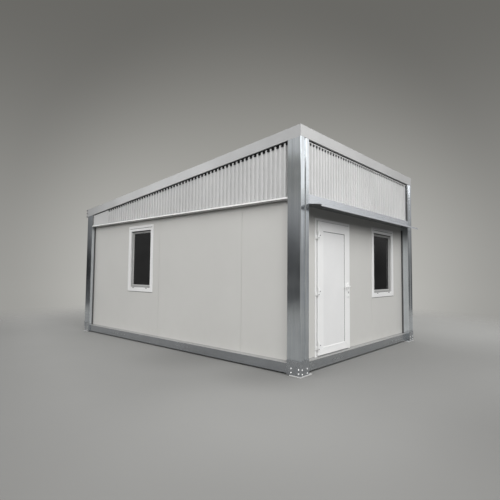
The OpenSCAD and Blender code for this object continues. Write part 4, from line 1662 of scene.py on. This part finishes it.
@dataclass
class Door:
    """The PVC door: frame, leaf, infill with its bead, seals, strips of painted shade and
    threshold.
    """

    frame_width: float = 0.065
    jamb_tail: float = 0.2
    lap: float = 0.020
    gap: float = 0.005
    flange: float = 0.015
    hinge_side: float = 0.009
    bead_wide: float = 0.016
    bead_step: float = 0.002
    lip: float = 0.0075
    lip_out: float = 0.0016
    leaf_seal: Point = (0.004, 0.011)
    leaf_seal_rise: Point = (0.0042, 0.0030)
    # A dark strip on the frame above the leaf: painted shade under the frame's head.
    head_shade_strip: Point = (0.0022, 0.0001)
    head_shade_gap: float = 0.0006
    head_shade_top: float = 0.008
    hair: float = 0.0002

    def build(self) -> None:
        """Makes the frame, leaf, bead and seals, and dresses the rest."""
        self.outer_frame()
        self.leaf()
        self.bead()
        self.seals()
        dress("door_panel", INFILL)
        dress("door_threshold", ALUMINIUM, Fold())

    def outer_frame(self) -> None:
        """Makes the frame's two jambs and its head."""
        box = Box.of("door_frame")
        outer = box.rect
        low = Rect(outer.left, outer.bottom - self.jamb_tail, outer.right, outer.top)
        inner = low.inset(self.frame_width, 0.0)
        stations = [(low, box.low.y), (inner, box.low.y), (inner, box.high.y),
                    (low, box.high.y)]
        solid = Solid()
        solid.member(stations, Side.TOP)
        jamb = [(Rect(r.left, outer.bottom, r.right, r.top), y) for r, y in stations]
        solid.ring(jamb, 0.0, (Side.LEFT, Side.RIGHT))
        solid.piece("door_frame_profiles", PVC, fold=CREASED, replaces=["door_frame"])

    def leaf(self) -> None:
        """Makes the leaf's stiles and rails as mitred members."""
        box, panel = Box.of("door_leaf"), Box.of("door_panel").rect
        edge = box.rect
        swing = Box.of("door_frame").high.x - self.frame_width - self.gap - edge.left
        reach = box.high.y - (Box.of("door_hinge_knuckles").low.y + self.hinge_side)
        body = edge.inset(self.lap + self.gap, 0.0)
        body = Rect(body.left, body.bottom, edge.left + math.sqrt(swing ** 2 - reach ** 2),
                    body.top)
        front, back, deep = box.low.y, box.low.y + self.flange, box.high.y
        solid = Solid()
        solid.ring([(edge, front), (panel, front), (panel, deep), (body, deep), (body, back),
                    (edge, back)])
        solid.piece("door_leaf_profiles", PVC, DOOR, Fold(0.0026, 3), ["door_leaf"])

    def bead(self) -> None:
        """Makes the bead that holds the infill, on the inner face, and outside, a dark strip on
        the infill's right and top edges as painted shade.
        """
        panel = Box.of("door_panel")
        rect, front, back = panel.rect, panel.low.y, panel.high.y
        inner, far = rect.inset(self.bead_wide), Box.of("door_leaf").high.y - self.bead_step
        bead = Solid()
        bead.ring([(rect, back), (inner, back), (inner, back + self.bead_step),
                   (rect.inset(self.bead_wide * 0.4), far), (rect, far)])
        bead.piece("door_bead", PVC, DOOR, SHARP)
        # A dark strip on the infill's right and top edges only: painted shade.
        seal, lip = Solid(), rect.inset(self.lip)
        seal.ring([(rect, front), (rect, front - self.lip_out),
                   (lip, front - self.lip_out / 4), (lip, front)], 0.0, (Side.RIGHT, Side.TOP))
        seal.piece("door_panel_shade_strip", SHADE_STRIP_DARK, DOOR)

    def seals(self) -> None:
        """Makes the seal on the leaf's flange, and a dark strip on the frame above the leaf as
        painted shade.
        """
        box = Box.of("door_leaf")
        edge, back = box.rect, box.low.y + self.flange
        outer, inner = (edge.inset(d) for d in self.leaf_seal)
        solid = Solid()
        high, low = self.leaf_seal_rise
        solid.ring([(outer, back - self.hair), (inner, back - self.hair), (inner, back + low),
                    (outer, back + high)], 0.0, (Side.LEFT, Side.TOP, Side.RIGHT))
        solid.piece("door_leaf_seal", SEAL_GREY, DOOR)
        near, far = (Box.of("door_frame").low.y - d for d in self.head_shade_strip)
        fixed = Solid()
        fixed.box((edge.left, near, edge.top + self.head_shade_gap),
                  (edge.right, far, edge.top + self.head_shade_top))
        fixed.piece("door_head_shade_strip", SHADE_STRIP_DARK)


@dataclass
class Hinges:
    """The door's hinges, with their barrel caps, cover screws and adjusting holes."""

    height: float = 0.115
    barrel_cap: Profile = ((0.0088, 0), (0.0088, 0.002), (0.0072, 0.004), (0.003, 0.0048))
    cover_screw: Triple = (0.069, 0.003, 0.008)
    adjuster: Profile = ((0.0075, -0.004), (0.0075, 0.0012), (0.0050, 0.0016))
    adjuster_at: Triple = (-0.002, -0.0085, -0.041)

    def build(self) -> None:
        """Dresses the hinges and adds their small parts."""
        dress("door_hinge_pins", HARDWARE, THIN)
        dress("door_hinge_knuckles", HARDWARE, THIN)
        pins, knuckles = Box.of("door_hinge_pins"), Box.of("door_hinge_knuckles")
        front = Box.of("door_leaf").low.y
        x, y, level = frame["joints"][0]["pos_m"]
        half = self.height / 2
        across, up, radius = self.cover_screw
        fixed, moving, dark, screws = (Solid() for _ in range(4))
        for z in (pins.low.z + half, level, knuckles.high.z - half):
            fixed.turned(self.barrel_cap, (x, y, z - half), (0, 0, -1), 24)
            moving.turned(self.barrel_cap, (x, y, z + half), (0, 0, 1), 24)
            screws.screw((x + across, front, z + up), (0, -1, 0), radius)
            spot = tuple(a + b for a, b in zip((x, y, z), self.adjuster_at))
            dark.turned(self.adjuster, spot, (0, -1, 0), 18)
        fixed.piece("hinge_caps_lower", HARDWARE)
        moving.piece("hinge_caps_upper", HARDWARE, DOOR)
        dark.piece("hinge_adjusters", BLACK_SEAL_AND_SHADE)
        screws.piece("hinge_screws", DARK_BOLT, DOOR)


@dataclass
class Handle:
    """A lever on its long plate, with the lock cylinder below; way is -1 on the outside."""

    node: str
    way: int
    out: float = 0.045
    length: float = 0.135
    bend: float = 0.015
    steps: int = 8
    sides: int = 20
    grip: float = 0.0082
    grip_widens: float = 0.0012
    grip_thins: float = 0.0030
    grip_droops: float = 0.004
    grip_ends: Point = (0.86, 0.45)
    grip_places: Row = (0.2, 0.4, 0.6, 0.8, 0.94, 0.985, 1.0)
    collar: Profile = ((0.0125, -0.001), (0.0125, 0.004), (0.0105, 0.006))
    plate_width: float = 0.032
    plate_height: float = 0.240
    thickness: float = 0.010
    plate_corner: float = 0.0125
    plate_edge: Profile = ((0.0, 0.0), (0.0, 0.6), (0.0006, 0.85), (0.0022, 1.0))
    cylinder_drop: float = 0.092
    cylinder: Profile = ((0.0085, 0), (0.0085, 0.0125), (0.0075, 0.0137), (0.004, 0.0138))
    lock_case: Triple = (0.005, 0.024, 0.0049)
    lock_out: float = 0.0035
    key_slot: Triple = (0.0009, 0.0055, 0.0008)
    key_slot_out: float = 0.0140
    # The screw 28 mm below the spindle is made large and dark as a painted shadow of the lever.
    plate_screws: Profile = ((0.036, 0.0035), (-0.028, 0.0065), (-0.162, 0.0055))

    def __post_init__(self) -> None:
        """Finds the spindle's place and the face of the leaf that the plate lies on."""
        self.box = Box.of(self.node)
        self.x = self.box.high.x - self.plate_width / 2
        self.z = self.box.high.z - self.plate_height / 4
        self.face = self.box.high.y if self.way < 0 else self.box.low.y
        self.ahead = (0, self.way, 0)

    def build(self) -> None:
        """Makes the lever on its plate, and the lock."""
        solid = Solid()
        self.plate(solid)
        self.lever(solid)
        solid.piece(f"{self.node}_lever", HARDWARE, DOOR, replaces=[self.node])
        self.lock()

    def plate(self, solid: Solid) -> None:
        """Adds the back plate, with round corners and a softened front edge."""
        half = self.plate_width / 2
        edge = Rect(self.x - half, self.box.low.z, self.x + half, self.box.high.z)
        solid.loft([[(p, self.face + self.way * self.thickness * out, q)
                     for p, q in edge.inset(inset).rounded(self.plate_corner - inset, 6)]
                    for inset, out in self.plate_edge])

    def lock(self) -> None:
        """Makes the lock cylinder, its key slot and the plate's screws, one of which is a painted
        shadow under the lever.
        """
        x, face, low = self.x, self.face, self.z - self.cylinder_drop
        lock, marks = Solid(), Solid()
        lock.turned(self.cylinder, (x, face, low), self.ahead, 24)
        half, tall, corner = self.lock_case
        lock.prism(Rect(x - half, low - tall, x + half, low).rounded(corner), Axis.Y, face,
                   face + self.way * (self.thickness + self.lock_out))
        lock.piece(f"{self.node}_cylinder", NICKEL, DOOR)
        half, tall, corner = self.key_slot
        slot = Rect(x - half, low - tall, x + half, low + tall).rounded(corner, 2)
        marks.prism(slot, Axis.Y, face, face + self.way * self.key_slot_out)
        for up, radius in self.plate_screws:
            marks.screw((x, face + self.way * self.thickness, self.z + up), self.ahead, radius)
        marks.piece(f"{self.node}_marks", DARK_BOLT, DOOR)

    def lever(self, solid: Solid) -> None:
        """Adds the collar, the neck and the grip, which narrows towards its end."""
        t, bend, neck, steps = self.thickness, self.bend, self.out - self.bend, self.steps
        spindle = Vector((self.x, self.face, self.z))
        solid.turned([(r, t + d) for r, d in self.collar], tuple(spindle), self.ahead, 28)
        turns = [math.pi / 2 * (i + 1) / steps for i in range(steps)]
        spots = [(0.0, t), (0.0, neck),
                 *((bend - bend * math.cos(a), neck + bend * math.sin(a)) for a in turns),
                 *((bend + (self.length - bend) * s, self.out - self.grip_droops * s * s)
                   for s in self.grip_places)]
        last = len(spots) - 1
        narrowing = dict(zip((last - 1, last), self.grip_ends))
        rings = []
        for i, (run, rise) in enumerate(spots):
            a, b = spots[max(i - 1, 0)], spots[min(i + 1, last)]
            heading = Vector((b[0] - a[0], b[1] - a[1])).normalized()
            share = min(run / self.length, 1.0)
            wide = (self.grip + self.grip_widens * share) * narrowing.get(i, 1.0)
            thick = (self.grip - self.grip_thins * share) * narrowing.get(i, 1.0)
            ring = []
            for angle in (2 * math.pi * k / self.sides for k in range(self.sides)):
                side = thick * math.cos(angle)
                ring.append((spindle.x - (run - heading.y * side),
                             spindle.y + self.way * (rise + heading.x * side),
                             spindle.z + wide * math.sin(angle)))
            rings.append(ring)
        solid.loft(rings)


# ---- the studio ----


@dataclass(frozen=True)
class SoftBox:
    """A rectangular soft lamp, with its place, aim, width, height and power in watts."""

    name: str
    at: Triple
    aim: Triple
    wide: float
    high: float
    power: float
    hidden_from: str = ""

    def build(self) -> None:
        """Hangs the lamp and hides it from the kind of ray that it is not for."""
        data = bpy.data.lights.new(self.name, "AREA")
        data.shape, data.size, data.size_y = "RECTANGLE", self.wide, self.high
        data.energy = self.power
        made = put_in_scene(self.name, data)
        made.location = self.at
        made.rotation_mode = "QUATERNION"
        toward = Vector(self.aim) - Vector(self.at)
        made.rotation_quaternion = toward.to_track_quat("-Z", "Y")
        if self.hidden_from:
            setattr(made, f"visible_{self.hidden_from}", False)


@dataclass(frozen=True)
class Flag:
    """A curved dark flag round the cabin that only reflections show.

    It hangs on an arc from turn[0] to turn[1], in degrees from +X. The tones say how light it
    is at the floor, at the eye's level and at its top edge.
    """

    name: str
    centre: Point
    radius: float
    turn: Point
    high: float
    tones: Triple
    low: float = 0.02
    thickness: float = 0.05
    steps: int = 16

    def build(self, eye: float) -> None:
        """Hangs the flag, darkest at the given eye's level."""
        solid = Solid()
        near, far = (arc(self.centre, r, *self.turn, self.steps)
                     for r in (self.radius, self.radius + self.thickness))
        solid.loft([[(*a, self.low), (*a, self.high), (*b, self.high), (*b, self.low)]
                    for a, b in zip(near, far)])
        made = put_in_scene(self.name, solid.data(self.name))
        material, w = empty_material(f"{self.name}_cloth")
        height = w.part(w.place(), Axis.Z)
        foot, dark, top = self.tones
        tone = w.math("MAXIMUM", w.span(height, eye - 0.1, self.low, dark, foot),
                      w.span(height, eye, self.high, dark, top))
        tone = w.mul(tone, w.span(w.noise(w.place(), 2.0), 0.3, 0.7, 0.9, 1.1))
        cloth = w.node("ShaderNodeCombineColor", Red=tone, Green=tone, Blue=tone).outputs[0]
        glow = w.node("ShaderNodeEmission", Color=cloth, Strength=1.0)
        w.node("ShaderNodeOutputMaterial", Surface=glow.outputs[0])
        made.data.materials.append(material)
        for ray in ("camera", "diffuse", "transmission", "shadow", "volume_scatter"):
            setattr(made, f"visible_{ray}", False)


@dataclass(frozen=True)
class PaintedFloorPool:
    """A round patch of floor with painted light where the gain is above 1 and painted shadow where
    it is below, fading from near to far.
    """

    spot: Point
    near: float
    far: float
    gain: float
    outside: float = 1.0

    def shade(self, w: Wiring, tone: Value) -> Socket:
        """Returns the floor's tone with the patch in it."""
        away = w.distance((*self.spot, 0.0))
        return w.mul(tone, w.span(away, self.near, self.far, self.gain, self.outside))


@dataclass(frozen=True)
class PaintedFloorRim:
    """A strip of painted shade on the floor along an edge, which is the line where across · place
    = edge.
    """

    across: Triple
    edge: float
    gain: float = 0.82
    before: float = 0.3
    behind: float = 0.9
    fades: Point | None = None

    def shade(self, w: Wiring, tone: Value) -> Socket:
        """Returns the floor's tone with the strip in it, which may fade out along X."""
        gain: Value = self.gain
        if self.fades:
            gain = w.span(w.part(w.place(), Axis.X), *self.fades, self.gain, 1.0)
        return w.mul(tone, w.span(w.dot(w.place(), self.across), self.edge - self.before,
                                  self.edge + self.behind, gain, 1.0))


@dataclass
class Studio:
    """The camera, the soft lamps, the pale floor and the backdrop."""

    position: Triple = (-6.498, -6.0085, 1.381)
    heading: float = 41.742
    tilt: float = 3.268
    roll: float = 0.526
    focal: float = 28.706
    sensor: float = 36.0
    floor_radius: float = 60.0
    floor_shown: float = 0.190
    floor_bounce: float = 0.07
    floor_fade: Point = (5.0, 10.5)
    sky: float = 1.90
    glow: Point = (41.2, 3.2)
    glow_span: Row = (0.835, 0.97, 0.93, 1.41)
    greys: Triple = (0.425, 0.63, 0.635)
    boxes: tuple[SoftBox, ...] = (
        SoftBox("key_box", (-3.3, -7.1, 6.2), (-1.0, -2.0, 1.5), 4.0, 4.0, 292.0),
        SoftBox("left_box", (-7.4, -0.4, 4.2), (-2.0, -0.5, 1.9), 3.6, 4.2, 68.0, "glossy"),
        SoftBox("left_card", (-7.6, 2.0, 7.3), (-2.0, -0.2, 1.6), 6.5, 4.6, 34.0, "diffuse"),
        SoftBox("front_card", (5.4, -9.8, 7.3), (-2.06, -3.1, 3.6), 8.0, 5.4, 126.0,
                "diffuse"))
    flags: tuple[Flag, ...] = (
        Flag("rear_flag", (-2.0, 1.0), 8.5, (95.0, 116.0), 4.3, (0.10, 0.016, 0.24)),
        Flag("side_flag", (-2.0, 1.0), 8.5, (116.2, 149.8), 4.3, (0.30, 0.27, 0.34)),
        Flag("left_flag", (-2.0, 1.0), 8.5, (150.0, 178.0), 4.3, (0.09, 0.035, 0.26)),
        Flag("front_flag", (0.5, -2.0), 9.0, (-75.0, -40.5), 4.5, (0.34, 0.28, 0.55)),
        Flag("right_flag", (0.5, -2.0), 9.0, (-40.0, -8.0), 5.6, (0.13, 0.10, 0.58)))
    # Painted light and painted shadow on the floor.
    patches: tuple[PaintedFloorPool | PaintedFloorRim, ...] = (
        PaintedFloorPool((-4.6, -6.8), 2.0, 10.0, 0.98, 1.26),
        PaintedFloorPool((-3.5, -3.4), 0.3, 1.7, 1.13),
        PaintedFloorPool((-2.3, -2.6), 0.1, 0.9, 0.86),
        PaintedFloorPool((-2.3, -0.9), 0.1, 1.1, 0.87),
        PaintedFloorPool((5.2, -3.2), 1.0, 4.5, 1.17),
        PaintedFloorRim((0.960, -0.279, 0.0), -4.566),
        PaintedFloorRim((-0.167, 0.986, 0.0), -4.83, fades=(-2.5, -0.5)))

    def build(self) -> None:
        """Sets up everything around the cabin."""
        self.camera()
        self.floor()
        self.world()
        for box in self.boxes:
            box.build()
        for flag in self.flags:
            flag.build(self.position[2])
        bpy.context.scene.view_settings.view_transform = "Standard"

    def camera(self) -> None:
        """Adds the camera, aimed by its heading, tilt and roll in degrees."""
        yaw, roll = math.radians(self.heading), math.radians(self.roll)
        ahead = Vector(direction(self.heading, self.tilt))
        right = Vector((math.sin(yaw), -math.cos(yaw), 0.0))
        up = right.cross(ahead)
        side = right * math.cos(roll) + up * math.sin(roll)
        top = up * math.cos(roll) - right * math.sin(roll)
        data = bpy.data.cameras.new("camera")
        data.lens, data.sensor_width = self.focal, self.sensor
        made = put_in_scene("camera", data)
        turn = Matrix((side, top, -ahead)).transposed().to_4x4()
        made.matrix_world = Matrix.Translation(self.position) @ turn
        bpy.context.scene.camera = made

    def floor(self) -> None:
        """Adds a wide pale floor with painted pools of light and shadow, that melts into the
        backdrop.
        """
        disc = Solid()
        bmesh.ops.create_circle(disc.mesh, cap_ends=True, segments=96, radius=self.floor_radius)
        made = put_in_scene("floor", disc.data("floor"))
        material, w = empty_material("floor_paint")
        tone = w.span(w.noise(w.place(), 0.35, 4.0), 0.3, 0.7, self.floor_shown * 0.98,
                      self.floor_shown * 1.02)
        for patch in self.patches:
            tone = patch.shade(w, tone)
        grey = w.node("ShaderNodeCombineColor", Red=tone, Green=tone, Blue=w.mul(tone, 0.97))
        bounce = (self.floor_bounce,) * 3 + (1.0,)
        matt = w.node("ShaderNodeBsdfDiffuse",
                      Color=w.mix(self.looked_at(w), bounce, grey.outputs[0]))
        away = w.vector("LENGTH", w.place()).outputs["Value"]
        self.blend(w, w.span(away, *self.floor_fade), matt, w.node("ShaderNodeBsdfTransparent"),
                   "ShaderNodeOutputMaterial")
        made.data.materials.append(material)

    @staticmethod
    def looked_at(w: Wiring) -> Socket:
        """Returns 1 for rays from the camera, from gloss and through glass."""
        path = w.node("ShaderNodeLightPath")
        seen = w.math("MAXIMUM", path.outputs["Is Camera Ray"], path.outputs["Is Glossy Ray"])
        return w.math("MAXIMUM", seen, path.outputs["Is Transmission Ray"])

    @staticmethod
    def blend(w: Wiring, share: Value, first: bpy.types.Node, second: bpy.types.Node,
              output: str) -> None:
        """Puts out a blend of two shaders.

        Args:
            w: the wiring of the tree.
            share: the share of the second shader.
            first: the first shader.
            second: the second shader.
            output: the type name of the tree's output node.
        """
        both = w.node("ShaderNodeMixShader", Fac=share)
        w.feed(both.inputs[1], first.outputs[0])
        w.feed(both.inputs[2], second.outputs[0])
        w.node(output, Surface=both.outputs[0])

    def world(self) -> None:
        """Makes a soft dome of light and, to look at, a graded backdrop."""
        world = bpy.data.worlds.new("studio")
        bpy.context.scene.world = world
        world.use_nodes = True
        world.node_tree.nodes.clear()
        w = Wiring(world.node_tree)
        toward = w.node("ShaderNodeTexCoord").outputs["Generated"]
        x, y, height = (w.part(toward, axis) for axis in Axis)
        top, middle, low = (linear((c, c - 0.003, c - 0.018)) for c in self.greys)
        backdrop = w.mix(w.span(height, -0.06, 0.56), middle, top)
        backdrop = w.mix(w.span(height, 0.0, -0.05), backdrop, low)
        side = w.span(w.add(x, y), 0.8, -0.4, 0.76, 1.0)
        dome = w.mul(w.span(height, 0.07, 0.24), w.span(height, 0.6, 0.92, 1.0, 0.6))
        light = w.node("ShaderNodeBackground", Color=(1.0, 1.0, 1.0, 1.0),
                       Strength=w.mul(w.mul(dome, side), self.sky))
        shown = w.node("ShaderNodeBackground", Color=backdrop,
                       Strength=w.span(w.dot(toward, direction(*self.glow)), *self.glow_span))
        self.blend(w, self.looked_at(w), light, shown, "ShaderNodeOutputWorld")


def direction(heading: float, lift: float) -> Triple:
    """Returns the direction of a heading and a lift, both in degrees."""
    turn, rise = math.radians(heading), math.radians(lift)
    return math.cos(turn) * math.cos(rise), math.sin(turn) * math.cos(rise), math.sin(rise)


def main() -> None:
    """Builds the studio and every sub-assembly in order."""
    logging.basicConfig(level=logging.INFO, format="%(name)s: %(message)s")
    for part in (Studio(), Posts(), BaseFrame(), Roof(), Cladding(), Walls(),
                 window_in_front(), window_in_left(), Door(), Hinges(),
                 Handle("door_handle_outside", -1), Handle("door_handle_inside", 1)):
        log.info("building %s", type(part).__name__)
        part.build()


if __name__ == "__main__":
    main()
